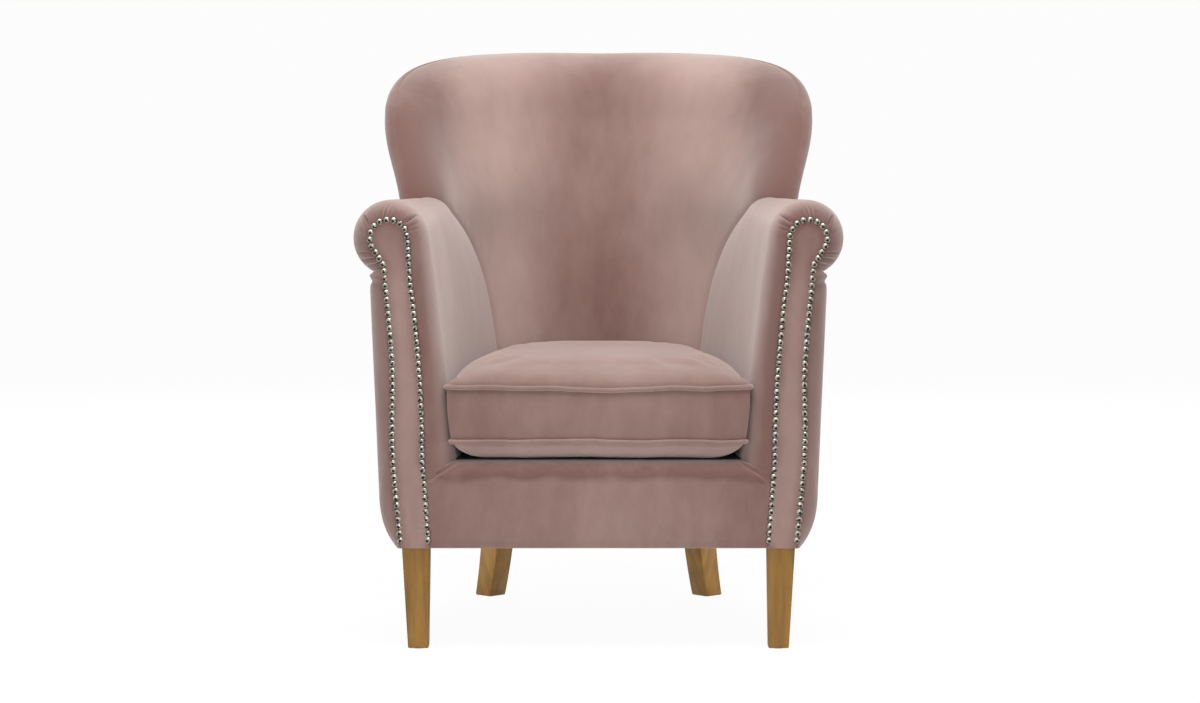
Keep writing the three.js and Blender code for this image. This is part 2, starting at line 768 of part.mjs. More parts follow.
function armFacing() {
  const outline = [innerHem, ...innerFacingLine(), ...outerFacingLine()];
  const raised = outline.map((p) => p.clone().setY(Math.max(p.y, hemHeight + gap)));
  const ring = (inset, y) => insetOutline(raised, inset).map((p) => at(p.x, y, p.y));
  const back = frontPadThickness - gap;
  const flat = nailHeadDiameter / 2 + nailNeckHeight;
  return loft([ring(gap, back), ring(gap, 0), ring(flat, 0), ring(flat + facingBevel, -facingPuff)]);
}

// Along a nail's pitch: how far, and how much of the full head there
const headShares = [
  [0, 0],
  [0.5, 1],
];

// Dome-headed nails in one row round the facing, joined edge to edge as a strip
function nailStrip() {
  const outline = [innerHem, ...innerFacingLine(), ...outerFacingLine()];
  const path = new THREE.SplineCurve(outline);
  const length = path.getLength() - 2 * nailHemMargin;
  const count = Math.round(length / nailPitch);
  const rings = [];
  const station = (distance, head) => {
    const t = (nailHemMargin + distance) / path.getLength();
    const p = path.getPointAt(clamp(t, 0, 1));
    const along = path.getTangentAt(clamp(t, 0, 1));
    const half = lerp(nailNeckWidth, nailHeadDiameter, head) / 2;
    const rise = lerp(nailNeckHeight, nailHeadHeight, head);
    const side = (k, y) => at(p.x - along.y * half * k, y, p.y + along.x * half * k);
    return [side(-1, -gap), side(0, -gap - rise), side(1, -gap)];
  };
  for (let i = 0; i < count; i++) {
    headShares.forEach(([place, head]) => {
      rings.push(station(((i + place) / count) * length, head));
    });
  }
  rings.push(station(length, 0));
  return loft(rings);
}

// Back frame and covers

const wingPostAngle = quarter - (wrapFar + gap) / wingArc(shoulderHeight);
const wingPostInnerAngle = wingPostAngle - wingPostWidth / wingArc(lumbarHeight);
const railAngle = wingPostInnerAngle - gap / wingArc(shoulderHeight);
const boardTop = (angle) => crestHeight(angle) - wrapFar - gap;
const boardBelow = (angle) => boardTop(angle) - over;
const boards = frameLayer(gap, memberThickness);
const straps = frameLayer(strapBack, strapBack + webbingThickness);

const barrelSpan = (limit) => steps(boardSteps).map((t) => lerp(limit, -limit, t));
const postSpan = (inner) => steps(postSteps).map((t) => lerp(wingPostAngle, inner, t));
const postRegion = (inner) => backRegion(postSpan(inner), () => frameBottom, boardTop);
const wingPost = () => common(boards, postRegion(wingPostInnerAngle));

function railBoard(low, high) {
  const limit = lerp(railAngle, wingPostAngle, 1 / 2);
  const whole = common(boards, backRegion(barrelSpan(limit), low, high));
  const above = (angle) => boardTop(angle) + topRailWidth;
  const rooms = [postRegion(railAngle), backRegion(postSpan(railAngle), boardBelow, above)];
  return cut(whole, ...rooms, ...rooms.map(mirrored));
}

function webbingStrap(share) {
  const low = lerp(lowerRailTop, shoulderHeight, share) - webbingWidth / 2;
  return common(straps, backRegion(barrelSpan(wingPostAngle), () => low, () => low + webbingWidth));
}

function innerBackPad() {
  const from = hemLevels.length;
  const front = backSheet(innerBackOffset, barrelAngles, from);
  const whole = slab(front, backSheet(padSeatOffset, barrelAngles, from));
  return cut(whole, armHollow(), mirrored(armHollow()));
}

const outerBackPanel = () => slab(backSheet(() => -gap), backSheet(outerBackOffset));

function makeBack() {
  addPair("wing_post", wingPost(), timber);
  add("back_top_rail", railBoard((angle) => boardTop(angle) - topRailWidth, boardTop), timber);
  add("back_lower_rail", railBoard(() => lowerRailBottom, () => lowerRailTop), timber);
  add("back_seat_rail", railBoard(() => frameBottom, () => railTop), timber);
  webbingShares.forEach((share, i) => {
    add(`back_webbing_${i + 1}`, webbingStrap(share), strapping);
  });
  add("inner_back_pad", innerBackPad(), velvet);
  add("outer_back_panel", outerBackPanel(), velvet);
}

// Leg fixings: a plate with a long stud up into the frame and down into the leg

const studAt = (x, y, radius, down, up) => {
  const rod = new THREE.CylinderGeometry(radius, radius, down + up, roundSteps);
  return rod.rotateX(quarter).translate(x, y, hemHeight + (up - down) / 2);
};

const studHole = (x, y) => studAt(x, y, studRadius + gap, studDown + gap, studUp + gap);

function legPlate(x, y, turn) {
  const half = plateSize / 2;
  const plate = block(-half, half, -half, half, hemHeight, hemHeight + plateThickness);
  plate.rotateZ(turn).translate(x, y, 0);
  return fuse(plate, studAt(x, y, studRadius, studDown, studUp));
}

function plateCut(x, y, turn) {
  const half = plateSize / 2 + plateRoom;
  const room = block(-half, half, -half, half, hemHeight - over, frameBottom + over);
  return room.rotateZ(turn).translate(x, y, 0);
}

const rearTurn = degToRad(rearLegTurn);
const { x: rearLegX, y: rearLegY } = backPoint(degToRad(rearLegAngle), hemHeight, rearLegInset);

// Seat frame

const postBack = frontPadThickness + postThickness;
const postTopHeight = rollHeight - facingRadius;
const railBack = frontRailY + frontRailThickness;
const sideRailInner = sideRailOuter - sideRailThickness;

const postOutline = [
  new THREE.Vector2(postHemX, frameBottom),
  new THREE.Vector2(postHemX + postWidth, frameBottom),
  new THREE.Vector2(postTopX + postWidth, postTopHeight),
  new THREE.Vector2(postTopX, postTopHeight),
];

const frontPost = () =>
  cut(frontal(postOutline, frontPadThickness, postBack), studHole(frontLegX, frontLegY));

function sideRail() {
  const end = backPoint(wingPostAngle, frameBottom, memberThickness).y - gap;
  return block(sideRailInner, sideRailOuter, postBack + gap, end, frameBottom, railTop);
}

function armRail() {
  const bottom = postTopHeight + gap;
  const rearBottom = rollHeightRear - armRailRearHeight / 2;
  const end = backPoint(wingPostAngle, rearBottom, memberThickness).y - gap;
  const section = (x, y, low, high) => [
    at(x, y, low),
    at(x + armRailWidth, y, low),
    at(x + armRailWidth, y, high),
    at(x, y, high),
  ];
  const frontX = postTopX + armRailOverPost;
  const rearX = rollCentreXRear - armRailWidth / 2;
  return loft([
    section(frontX, frontPadThickness, bottom, armRailTop),
    section(frontX, postBack, bottom, armRailTop),
    section(rearX, end, rearBottom, rearBottom + armRailRearHeight),
  ]);
}

function frontCornerBlock() {
  const [x, y] = [sideRailInner - gap, railBack + gap];
  const corner = [[x, y], [x, y + cornerBlockSize], [x - cornerBlockSize, y]];
  return upright(corner, frameBottom + cornerBlockRaise, railTop - blockDrop);
}

function rearCornerBlock() {
  const half = rearBlockSize / 2;
  const square = block(-half, half, -half, half, frameBottom, railTop - blockDrop);
  square.rotateZ(rearTurn).translate(rearLegX, rearLegY, 0);
  const kept = common(square, insideBack(memberThickness + gap));
  return cut(kept, studHole(rearLegX, rearLegY));
}

function makeSeatFrame() {
  const railEnd = postHemX - gap;
  const front = block(-railEnd, railEnd, frontRailY, railBack, frameBottom, railTop);
  add("front_rail", front, timber);
  addPair("side_rail", sideRail(), timber);
  addPair("front_post", frontPost(), timber);
  addPair("arm_rail", armRail(), timber);
  addPair("front_corner_block", frontCornerBlock(), timber);
  addPair("rear_corner_block", rearCornerBlock(), timber);
  addPair("front_leg_plate", legPlate(frontLegX, frontLegY, 0), steel);
  addPair("rear_leg_plate", legPlate(rearLegX, rearLegY, rearTurn), steel);
}

// Springs and platform

const springZ = springBottom + springWire / 2;
const springSpacing = ((sideRailInner - springSideRoom) * 2) / (springCount - 1);

// Where the back rail's middle line lies at a place across the seat
function backRailDepth(x) {
  const a = backHalfWidth(railTop) - memberThickness / 2;
  const reach = wingArc(railTop) - memberThickness / 2;
  return wingFrontDepth(railTop) + reach * Math.sqrt(1 - (x / a) ** 2);
}

// A wire through points that lie at one height, open or closed on itself
function flatWire(points, radius, sides, closed = false) {
  const n = points.length;
  const rings = points.map((p, i) => {
    const before = p.clone().sub(points[closed ? (i + n - 1) % n : Math.max(i - 1, 0)]);
    const after = points[closed ? (i + 1) % n : Math.min(i + 1, n - 1)].clone().sub(p);
    const [a, b] = [before.lengthSq() ? before : after, after.lengthSq() ? after : before];
    const mean = a.clone().normalize().add(b.clone().normalize()).normalize();
    const miter = radius / mean.dot(a.clone().normalize());
    return steps(sides).slice(1).map((t) => {
      const [side, rise] = [Math.cos(t * fullTurn) * miter, Math.sin(t * fullTurn) * radius];
      return at(p.x - mean.y * side, p.y + mean.x * side, p.z + rise);
    });
  });
  return loft(rings, closed);
}

function sinuousSpring(x) {
  const start = frontRailY + frontRailThickness / 2;
  const end = backRailDepth(Math.abs(x) + springHalfWidth);
  const bends = Math.round((end - start) / springPitch);
  const points = [];
  for (let k = 0; k <= bends; k++) {
    const y = lerp(start, end, k / bends);
    const side = k % 2 ? springHalfWidth : -springHalfWidth;
    points.push(at(x + side, y, springZ), at(x - side, y, springZ));
  }
  return flatWire(points, springWire / 2, springSides);
}

// The lined platform covers the rails behind the front border
function platform(bottom, top) {
  const half = sideRailOuter - gap;
  const sheet = block(-half, half, postBack + gap, backDepth(railTop), bottom, top);
  return common(sheet, insideBack(memberThickness + gap));
}

// The border reaches the seams of the arm fronts and is cut away round the posts
function frontBorder() {
  const face = frontRailY - gap;
  const top = deckHeight - gap;
  const back = postBack - gap;
  const section = [
    [face, hemHeight],
    [borderHemY, hemHeight],
    [0, hemHeight + hemRoll],
    ...steps(edgeSteps).map((t) => [
      borderRoll * (1 - Math.cos(t * quarter)),
      top - borderRoll * (1 - Math.sin(t * quarter)),
    ]),
    [back, top],
    [back, foamBottom],
    [face, foamBottom],
  ];
  const rise = (z) => (z - hemHeight) / (padBottom - hemHeight);
  const reach = (z) => lerp(facingHemX, facingSeamX, rise(z)) - gap;
  const whole = loft([-1, 1].map((side) => section.map(([y, z]) => at(side * reach(z), y, z))));
  const room = frontal(insetOutline(postOutline, -gap), frontPadThickness - gap, postBack);
  return cut(whole, room, mirrored(room));
}

function springStrips() {
  const half = ((springCount - 1) / 2) * springSpacing + 2 * springHalfWidth;
  const front = frontRailY + clipInset;
  const end = frontRailY + frontRailThickness - clipInset;
  const top = stripBottom + clipThickness;
  add("front_spring_clip_strip", block(-half, half, front, end, stripBottom, top), steel);
  const limit = Math.asin(half / backHalfWidth(railTop));
  const rear = common(
    frameLayer(clipInset, clipInset + clipWidth),
    backRegion(barrelSpan(limit), () => stripBottom, () => top),
  );
  add("rear_spring_clip_strip", rear, steel);
}

function dustCover() {
  const top = frameBottom - gap;
  const bottom = top - dustCoverThickness;
  const [front, rear] = [frontRailY, wingDepth - gap];
  const wide = outerHemHalfWidth - outerArmThickness - dustCoverMargin;
  const narrow = hemHalfWidth - outerArmThickness - dustCoverMargin;
  const sides = upright([[-wide, front], [wide, front], [narrow, rear], [-narrow, rear]], bottom, top);
  const behind = block(-narrow, narrow, front, backDepth(railTop), bottom, top);
  const sheet = fuse(sides, common(behind, insideBack(gap)));
  const holes = [plateCut(frontLegX, frontLegY, 0), plateCut(rearLegX, rearLegY, rearTurn)];
  return cut(sheet, ...holes, ...holes.map(mirrored));
}

function makePlatform() {
  for (let i = 0; i < springCount; i++) {
    const x = (i - (springCount - 1) / 2) * springSpacing;
    add(`seat_spring_${i + 1}`, sinuousSpring(x), steel);
  }
  springStrips();
  add("platform_pad", platform(foamBottom, foamTop), foam);
  add("platform_cloth", platform(foamTop + gap, deckHeight), lining);
  add("front_border", frontBorder(), velvet);
  add("dust_cover", dustCover(), lining);
}

// Arm covers

function makeArms() {
  addPair("arm_pad", armPad(), velvet);
  addPair("outer_arm_panel", outerArmPanel(), velvet);
  addPair("arm_facing", armFacing(), velvet);
  addPair("arm_nails", nailStrip(), nickel);
}

// Legs

// A square with its corners taken off, turned about its middle
function legSection(x, y, z, size, turn) {
  const half = size / 2;
  const flat = half - legEdge;
  const corners = [[flat, half], [half, flat], [half, -flat], [flat, -half]];
  const ring = [...corners, ...corners.map(([a, b]) => [-a, -b])];
  return ring.map(([a, b]) => {
    const p = new THREE.Vector2(a, b).rotateAround(new THREE.Vector2(), turn);
    return at(x + p.x, y + p.y, z);
  });
}

const legTopZ = hemHeight - gap;
const legFootZ = glideThickness + gap;

function frontLeg() {
  const size = (z) => lerp(frontLegFoot, frontLegTop, z / hemHeight);
  const x = (z) => frontLegX - frontLegToeIn * (1 - z / hemHeight);
  const levels = [legFootZ, legFootZ + legEdge, legTopZ];
  const rings = levels.map((z, i) =>
    legSection(x(z), frontLegY, z, size(z) - (i ? 0 : legEdge), 0),
  );
  return cut(loft(rings), studHole(frontLegX, frontLegY));
}

const sabre = (z) => (1 - z / hemHeight) ** sabrePower;

function rearLeg() {
  const size = (z) => lerp(rearLegFoot, rearLegTop, z / hemHeight);
  const rise = steps(riseSteps).map((t) => lerp(legFootZ + legEdge, legTopZ, t));
  const rings = [legFootZ, ...rise].map((z, i) => {
    const x = rearLegX + rearLegOut * sabre(z);
    const y = rearLegY + rearLegBack * sabre(z);
    return legSection(x, y, z, size(z) - (i ? 0 : legEdge), rearTurn);
  });
  return cut(loft(rings), studHole(rearLegX, rearLegY));
}

const glide = (x, y) =>
  new THREE.CylinderGeometry(glideRadius, glideRadius, glideThickness, roundSteps)
    .rotateX(quarter)
    .translate(x, y, glideThickness / 2);

function makeLegs() {
  addPair("front_leg", frontLeg(), legWood);
  addPair("rear_leg", rearLeg(), legWood);
  addPair("front_glide", glide(frontLegX - frontLegToeIn, frontLegY), nylon);
  addPair("rear_glide", glide(rearLegX + rearLegOut, rearLegY + rearLegBack), nylon);
}

// Loose cushion

const rearArcCentre = cushionRear - cushionRearRadius;

// Half the free width beside the cushion, wider where the arm fronts are rounded
function cushionHalfWidth(y) {
  const full = innerHalfWidth(Math.max(y, innerPadNose), lowerWeltHeight);
  const nose = 1 - clamp(y / innerPadNose, 0, 1);
  const free = lerp(facingSeamX, full, Math.sqrt(1 - nose * nose));
  return Math.min(free - cushionClearance, cushionFrontHalfWidth);
}

const rearArcDepth = (x) => rearArcCentre + Math.sqrt(cushionRearRadius ** 2 - x ** 2);

// Depth at which the side of the cushion meets its rear arc
function cushionCornerDepth() {
  let y = cushionRear;
  for (let i = 0; i < roundSteps; i++) y = rearArcDepth(cushionHalfWidth(y));
  return y;
}

// Plan outline of the cushion at its piping, round from the middle of the front
function cushionPlan() {
  const corner = cushionCornerDepth();
  const wide = cushionHalfWidth(cushionFront);
  const turn = (a, b, c) => new THREE.QuadraticBezierCurve(a, b, c).getPoints(cushionCornerSteps);
  const v = (x, y) => new THREE.Vector2(x, y);
  const start = cushionFront + cushionFrontCorner;
  const beside = v(cushionHalfWidth(start), start);
  const front = turn(v(wide - cushionFrontCorner, cushionFront), v(wide, cushionFront), beside);
  const stop = corner - cushionRearCorner;
  const depths = [
    lerp(start, innerPadNose, 1 / 2),
    ...steps(cushionSideSteps).map((t) => lerp(innerPadNose, stop, t)),
  ];
  const side = depths.map((y) => v(cushionHalfWidth(y), y));
  const in1 = cushionHalfWidth(corner) - cushionRearCorner;
  const rear = turn(side.at(-1), v(cushionHalfWidth(corner), corner), v(in1, rearArcDepth(in1)));
  const from = Math.asin(in1 / cushionRearRadius);
  const arc = steps(cushionArcSteps).slice(1).map((t) => {
    const x = cushionRearRadius * Math.sin(lerp(from, 0, t));
    return v(x, rearArcDepth(x));
  });
  const frontLine = steps(cushionFrontSteps)
    .slice(0, -1)
    .map((t) => v(lerp(0, wide - cushionFrontCorner, t), cushionFront));
  const right = [...frontLine, ...front, ...side.slice(0, -1), ...rear, ...arc];
  const left = right.slice(1, -1).reverse().map((p) => v(-p.x, p.y));
  return [...right, ...left];
}

const plan = cushionPlan();
const planRing = (inset, z) => insetOutline(plan, inset).map((p) => at(p.x, p.y, z));
const cushionCentre = at(0, lerp(cushionFront, cushionRear, 1 / 2), 0);

const seamInset = 2 * pipingRadius + seamPlay;

// How high a face of the cushion stands over its seam, as a share of its full crown
function crownShare(p, power) {
  const beside = cushionHalfWidth(clamp(p.y, 0, cushionRear)) - seamInset;
  const behind = rearArcDepth(p.x) - seamInset;
  const end = p.y > cushionCentre.y ? behind : cushionFront + seamInset;
  const across = Math.min(1, Math.abs(p.x) / beside);
  const along = Math.min(1, (p.y - cushionCentre.y) / (end - cushionCentre.y));
  return Math.sqrt((1 - across ** power) * (1 - along ** power));
}

const underCrown = lowerWeltHeight - deckHeight - gap;
const topRings = { shares: [0, 0.05, 0.14, 0.3, 0.55, 0.85], crown: crownHeight, power: crownPower };
const underRings = { shares: [0, 0.05, 0.13, 0.32], crown: -underCrown, power: underCrownPower };

// Rings of a crowned face, from its seam to near its middle
function crownRings(inset, level, { shares, crown, power }) {
  return shares.map((share) =>
    planRing(inset, level).map((p) => {
      const q = p.lerp(cushionCentre.clone().setZ(level), share);
      return q.setZ(level + (share > 0 ? crown * crownShare(q, power) : 0));
    }),
  );
}

function cushionCover(level, skin, rings) {
  const outer = crownRings(seamInset, level, rings);
  const inner = crownRings(seamInset, level + skin, rings);
  return loft([...inner.reverse(), ...outer]);
}

function cushionCore() {
  const skin = coverThickness + gap;
  const top = crownRings(seamInset, upperWeltHeight - skin, topRings);
  const under = crownRings(seamInset, lowerWeltHeight + skin, underRings);
  return loft([...under.reverse(), ...top]);
}

const borderLow = lowerWeltHeight + pipingRadius + gap;
const borderHigh = upperWeltHeight - pipingRadius - gap;

function cushionBorder() {
  const outerInset = (t) => pipingRadius - borderBulge * Math.sin(2 * t * quarter);
  const outer = steps(bulgeSteps).map((t) => planRing(outerInset(t), lerp(borderLow, borderHigh, t)));
  const inner = [borderLow, borderHigh].map((z) => planRing(pipingRadius + borderThickness, z));
  return loft([...outer, ...inner.reverse()], true);
}

const piping = (z) => flatWire(planRing(pipingRadius, z), pipingRadius, pipeSides, true);

const borderMiddle = (lowerWeltHeight + upperWeltHeight) / 2;
const tapeRadius = cushionRearRadius - pipingRadius + borderBulge + gap;

function zipTape() {
  const limit = degToRad(zipHalfAngle);
  const rings = steps(roundSteps).map((t) => {
    const angle = lerp(-limit, limit, t);
    const p = (radius, z) =>
      at(radius * Math.sin(angle), rearArcCentre + radius * Math.cos(angle), z);
    const [low, high] = [borderMiddle - zipWidth / 2, borderMiddle + zipWidth / 2];
    const outer = tapeRadius + zipThickness;
    return [p(tapeRadius, low), p(outer, low), p(outer, high), p(tapeRadius, high)];
  });
  return loft(rings);
}

function zipSlider() {
  const face = rearArcCentre + tapeRadius + zipThickness + gap;
  const half = sliderLength / 2;
  const body = block(-half, half, face, face + sliderThickness,
    borderMiddle - sliderWidth / 2, borderMiddle + sliderWidth / 2);
  const pull = block(-pullWidth / 2, pullWidth / 2, face + sliderThickness - pullThickness,
    face + sliderThickness, borderMiddle - pullLength, borderMiddle);
  return fuse(body, pull);
}

function makeCushion() {
  add("cushion_core", cushionCore(), foam);
  add("cushion_top_cover", cushionCover(upperWeltHeight, -coverThickness, topRings), velvet);
  add("cushion_bottom_cover", cushionCover(lowerWeltHeight, coverThickness, underRings), velvet);
  add("cushion_border", cushionBorder(), velvet);
  add("cushion_top_piping", piping(upperWeltHeight), velvet);
  add("cushion_bottom_piping", piping(lowerWeltHeight), velvet);
  add("cushion_zip_tape", zipTape(), nylon);
  add("cushion_zip_slider", zipSlider(), nickel);
}

makeSeatFrame();
makeBack();
makePlatform();
makeArms();
makeLegs();
makeCushion();

// The origin is on the floor under the middle of the chair's box
const span = new THREE.Box3().setFromObject(chair);
chair.position.y = -(span.min.y + span.max.y) / 2;

export default chair;
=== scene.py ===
"""Scallop back armchair: velvet covers, piping, nail heads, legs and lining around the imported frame.

Sizes are in millimetres and the shape formulas are the construction's own: x to the right, y back
from the plane of the arm fronts, z up. Points go to the frame's metres when a mesh is made.
"""

import json
import logging
import math
from collections.abc import Callable
from dataclasses import dataclass, field
from enum import Enum

import bmesh
import bpy
import numpy as np
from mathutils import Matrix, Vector, noise
from mathutils.kdtree import KDTree


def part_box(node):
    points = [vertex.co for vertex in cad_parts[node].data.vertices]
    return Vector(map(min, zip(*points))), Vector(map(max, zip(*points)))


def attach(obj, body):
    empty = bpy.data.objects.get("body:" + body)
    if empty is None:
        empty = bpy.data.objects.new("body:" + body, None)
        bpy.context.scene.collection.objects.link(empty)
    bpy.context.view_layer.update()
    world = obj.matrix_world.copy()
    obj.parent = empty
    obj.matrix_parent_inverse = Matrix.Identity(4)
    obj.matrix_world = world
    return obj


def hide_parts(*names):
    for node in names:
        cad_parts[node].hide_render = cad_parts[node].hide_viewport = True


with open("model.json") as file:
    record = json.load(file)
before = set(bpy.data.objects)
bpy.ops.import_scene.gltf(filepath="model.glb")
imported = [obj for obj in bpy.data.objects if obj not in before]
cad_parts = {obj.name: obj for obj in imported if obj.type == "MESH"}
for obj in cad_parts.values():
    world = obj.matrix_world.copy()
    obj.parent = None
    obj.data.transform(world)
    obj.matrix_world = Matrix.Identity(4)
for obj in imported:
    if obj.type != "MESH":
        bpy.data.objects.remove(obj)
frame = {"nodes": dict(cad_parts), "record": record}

LOG = logging.getLogger("armchair")
MM = 0.001
TINY = 1e-9
QUARTER = math.pi / 2
TONE = "tone"
DRAWN_UP = np.array([1, 1, 0.3])
Grid = np.ndarray
Tone = Callable[[Grid], Grid]
Shape = tuple[Grid, list[tuple]]
Pair = tuple[float, float]
Triple = tuple[float, float, float]
Colour = Triple
Socket = bpy.types.NodeSocket
Material = bpy.types.Material
Node = bpy.types.Node
NodeTree = bpy.types.NodeTree


class Side(Enum):
    """Which half of the chair a paired piece is on."""

    RIGHT = 1
    LEFT = -1

    @property
    def prefix(self) -> str:
        """Start of the piece's name."""
        return self.name.lower() + "_"


class Body(Enum):
    """Bodies of the frame that the pieces ride on."""

    CHAIR = "chair"
    CUSHION = "cushion"


# Numbers


def lerp(a: Grid, b: Grid, t: Grid) -> Grid:
    """Value a share t of the way from a to b."""
    return a + (b - a) * t


def smoothstep(x: Grid, low: float, high: float) -> Grid:
    """0 below low, 1 above high and smooth between."""
    t = np.clip((x - low) / (high - low), 0, 1)
    return t * t * (3 - 2 * t)


def roundness(distance: Grid, radius: float) -> Grid:
    """Share of full height at a distance in from a rounded edge: a quarter circle up to the radius."""
    t = 1 - np.clip(distance / radius, 0, 1)
    return np.sqrt(1 - t * t)


def bell(x: Grid, width: float) -> Grid:
    """1 at zero, and fading on both sides over a width."""
    return np.exp(-((x / width) ** 2))


def joined(*coordinates: Grid) -> Grid:
    """Points from their coordinates, which become the last axis."""
    return np.stack(np.broadcast_arrays(*coordinates), -1)


def polar(x: Grid, z: Grid, radius: Grid, angle: Grid) -> Grid:
    """Points round a centre, with x and z as the last axis."""
    return joined(x + radius * np.cos(angle), z + radius * np.sin(angle))


def bezier(points: list[Grid], t: Grid) -> Grid:
    """Bezier curve of any degree.

    Args:
        points: Control points, with x and z as the last axis.
        t: Shares along the curve.

    Returns:
        Points of the curve.
    """
    while len(points) > 1:
        points = [a + (b - a) * t[..., None] for a, b in zip(points, points[1:])]
    return points[0]


def run_lengths(path: Grid) -> Grid:
    """Length of a polyline from its start to each of its corners."""
    return np.concatenate([[0], np.cumsum(np.linalg.norm(np.diff(path, axis=0), axis=1))])


def ring_tangents(ring: Grid) -> Grid:
    """Unit direction of a closed ring at each of its points."""
    along = np.roll(ring, -1, axis=0) - np.roll(ring, 1, axis=0)
    return along / np.linalg.norm(along, axis=1, keepdims=True)


def along_path(path: Grid, t: Grid) -> Grid:
    """Points at shares of a polyline's length."""
    run = run_lengths(path)
    return np.stack([np.interp(t * run[-1], run, path[:, k]) for k in range(path.shape[1])], -1)


def unevenness(points: Grid, scale: float, seed: float = 0) -> Grid:
    """Smooth noise between about -1 and 1 at points, with lumps of a size and moved by a seed."""
    values = [noise.noise(Vector(p)) for p in points.reshape(-1, 3) / scale + seed]
    return np.array(values).reshape(points.shape[:-1])


def plain_tone(p: Grid) -> Grid:
    """Even tone of a piece that hangs plainly."""
    return np.full(len(p), 0.4)


def grid_normals(grid: Grid) -> Grid:
    """Unit normals of a grid of points, from its rows and columns."""
    n = np.cross(np.gradient(grid, axis=0), np.gradient(grid, axis=1))
    return n / np.maximum(np.linalg.norm(n, axis=-1, keepdims=True), TINY)


# Meshes


def grid_faces(rows: int, cols: int, start: int = 0, closed: bool = False) -> list[tuple]:
    """Quads of a grid of points.

    Args:
        rows: Number of rows.
        cols: Number of points a row.
        start: Index of the first point.
        closed: Whether each row joins up with itself.

    Returns:
        Faces as tuples of four indices.
    """
    faces = []
    for i in range(rows - 1):
        for j in range(cols if closed else cols - 1):
            a, b = start + i * cols + j, start + i * cols + (j + 1) % cols
            faces.append((a, b, b + cols, a + cols))
    return faces


def slab(front: Grid, back: Grid) -> Shape:
    """Closed shell between two grids of points, with walls round its edges.

    Args:
        front: Points of the shown face, as rows by columns by 3.
        back: Points behind them.

    Returns:
        Points and faces.
    """
    rows, cols = front.shape[:2]
    count = rows * cols
    faces = grid_faces(rows, cols) + grid_faces(rows, cols, count)
    top = [(0, j) for j in range(cols)] + [(i, cols - 1) for i in range(1, rows)]
    low = [(rows - 1, j) for j in range(cols - 2, -1, -1)] + [(i, 0) for i in range(rows - 2, 0, -1)]
    rim = [i * cols + j for i, j in top + low]
    for a, b in zip(rim, rim[1:] + rim[:1]):
        faces.append((a, b, b + count, a + count))
    return np.concatenate([front.reshape(-1, 3), back.reshape(-1, 3)]), faces


def tube(path: Grid, radius: Grid, sides: int) -> Shape:
    """Closed round tube that follows a level ring of points.

    Args:
        path: Points of the ring.
        radius: Radius at each point.
        sides: Number of sides.

    Returns:
        Points and faces.
    """
    along = ring_tangents(path)
    out = np.cross(along, [0, 0, 1])
    up = np.cross(out, along)
    turn = np.linspace(0, 4 * QUARTER, sides, endpoint=False)[:, None, None]
    rings = path + radius[:, None] * (np.cos(turn) * out + np.sin(turn) * up)
    count = len(path)
    faces = grid_faces(sides, count, closed=True)
    last = (sides - 1) * count
    for j in range(count):
        k = (j + 1) % count
        faces.append((last + j, last + k, k, j))
    return rings.reshape(-1, 3), faces


def mesh_points(mesh: bpy.types.Mesh) -> Grid:
    """Points of a mesh.

    Args:
        mesh: The mesh.

    Returns:
        One row a point.
    """
    flat = np.empty(3 * len(mesh.vertices))
    mesh.vertices.foreach_get("co", flat)
    return flat.reshape(-1, 3)


@dataclass
class Workshop:
    """Turns points and faces into pieces that ride on the frame."""

    finish: dict[str, Material]
    front_y: float = field(default_factory=lambda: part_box("front_border")[0].y)
    weld: float = 0.00002

    def to_frame(self, points: Grid) -> Grid:
        """Points in the frame's metres."""
        return np.asarray(points, float) * MM + np.array([0, self.front_y, 0])

    def from_frame(self, points: Grid) -> Grid:
        """Points in millimetres from the plane of the arm fronts."""
        return (points - np.array([0, self.front_y, 0])) / MM

    def dress_frame(self) -> None:
        """Gives each solid of the frame the finish of its slot."""
        for part in frame["record"]["subparts"]:
            materials = frame["nodes"][part["node"]].data.materials
            materials.clear()
            materials.append(self.finish[part["material_slot"]])

    def piece(
        self,
        name: str,
        shape: Shape,
        slot: str,
        stands_for: tuple[str, ...],
        body: Body = Body.CHAIR,
        tone: Tone | None = None,
        crease: float = 60,
        in_frame: bool = False,
    ) -> bpy.types.Object:
        """Makes a closed, smooth piece with its doubled points welded, and puts it on its body.

        Args:
            name: Name of the piece.
            shape: Points and faces.
            slot: The record's material slot, which gives its finish.
            stands_for: Solids of the frame that it replaces.
            body: Body that it rides on.
            tone: Gives the tone of its finish, from 0 to 1, at points in millimetres.
            crease: Angle in degrees from which an edge stays sharp.
            in_frame: Whether the points are in the frame's metres already.

        Returns:
            The new object.
        """
        points, faces = shape
        mesh = bpy.data.meshes.new(name)
        mesh.from_pydata(points if in_frame else self.to_frame(points), [], faces)
        shell = bmesh.new()
        shell.from_mesh(mesh)
        bmesh.ops.remove_doubles(shell, verts=shell.verts, dist=self.weld)
        bmesh.ops.dissolve_degenerate(shell, edges=shell.edges, dist=self.weld)
        bmesh.ops.recalc_face_normals(shell, faces=shell.faces)
        shell.to_mesh(mesh)
        shell.free()
        mesh.shade_smooth()
        mesh.set_sharp_from_angle(angle=math.radians(crease))
        mesh.materials.append(self.finish[slot])
        if tone:
            values = np.clip(tone(self.from_frame(mesh_points(mesh))), 0, 1)
            layer = mesh.attributes.new(TONE, "FLOAT", "POINT")
            layer.data.foreach_set("value", values.astype(np.float32))
        made = bpy.data.objects.new(name, mesh)
        bpy.context.scene.collection.objects.link(made)
        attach(made, body.value)
        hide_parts(*stands_for)
        LOG.info("%s: %d faces", name, len(mesh.polygons))
        return made


@dataclass
class Assembly:
    """A sub-assembly of the chair, made in the workshop."""

    shop: Workshop


# Shape of the back


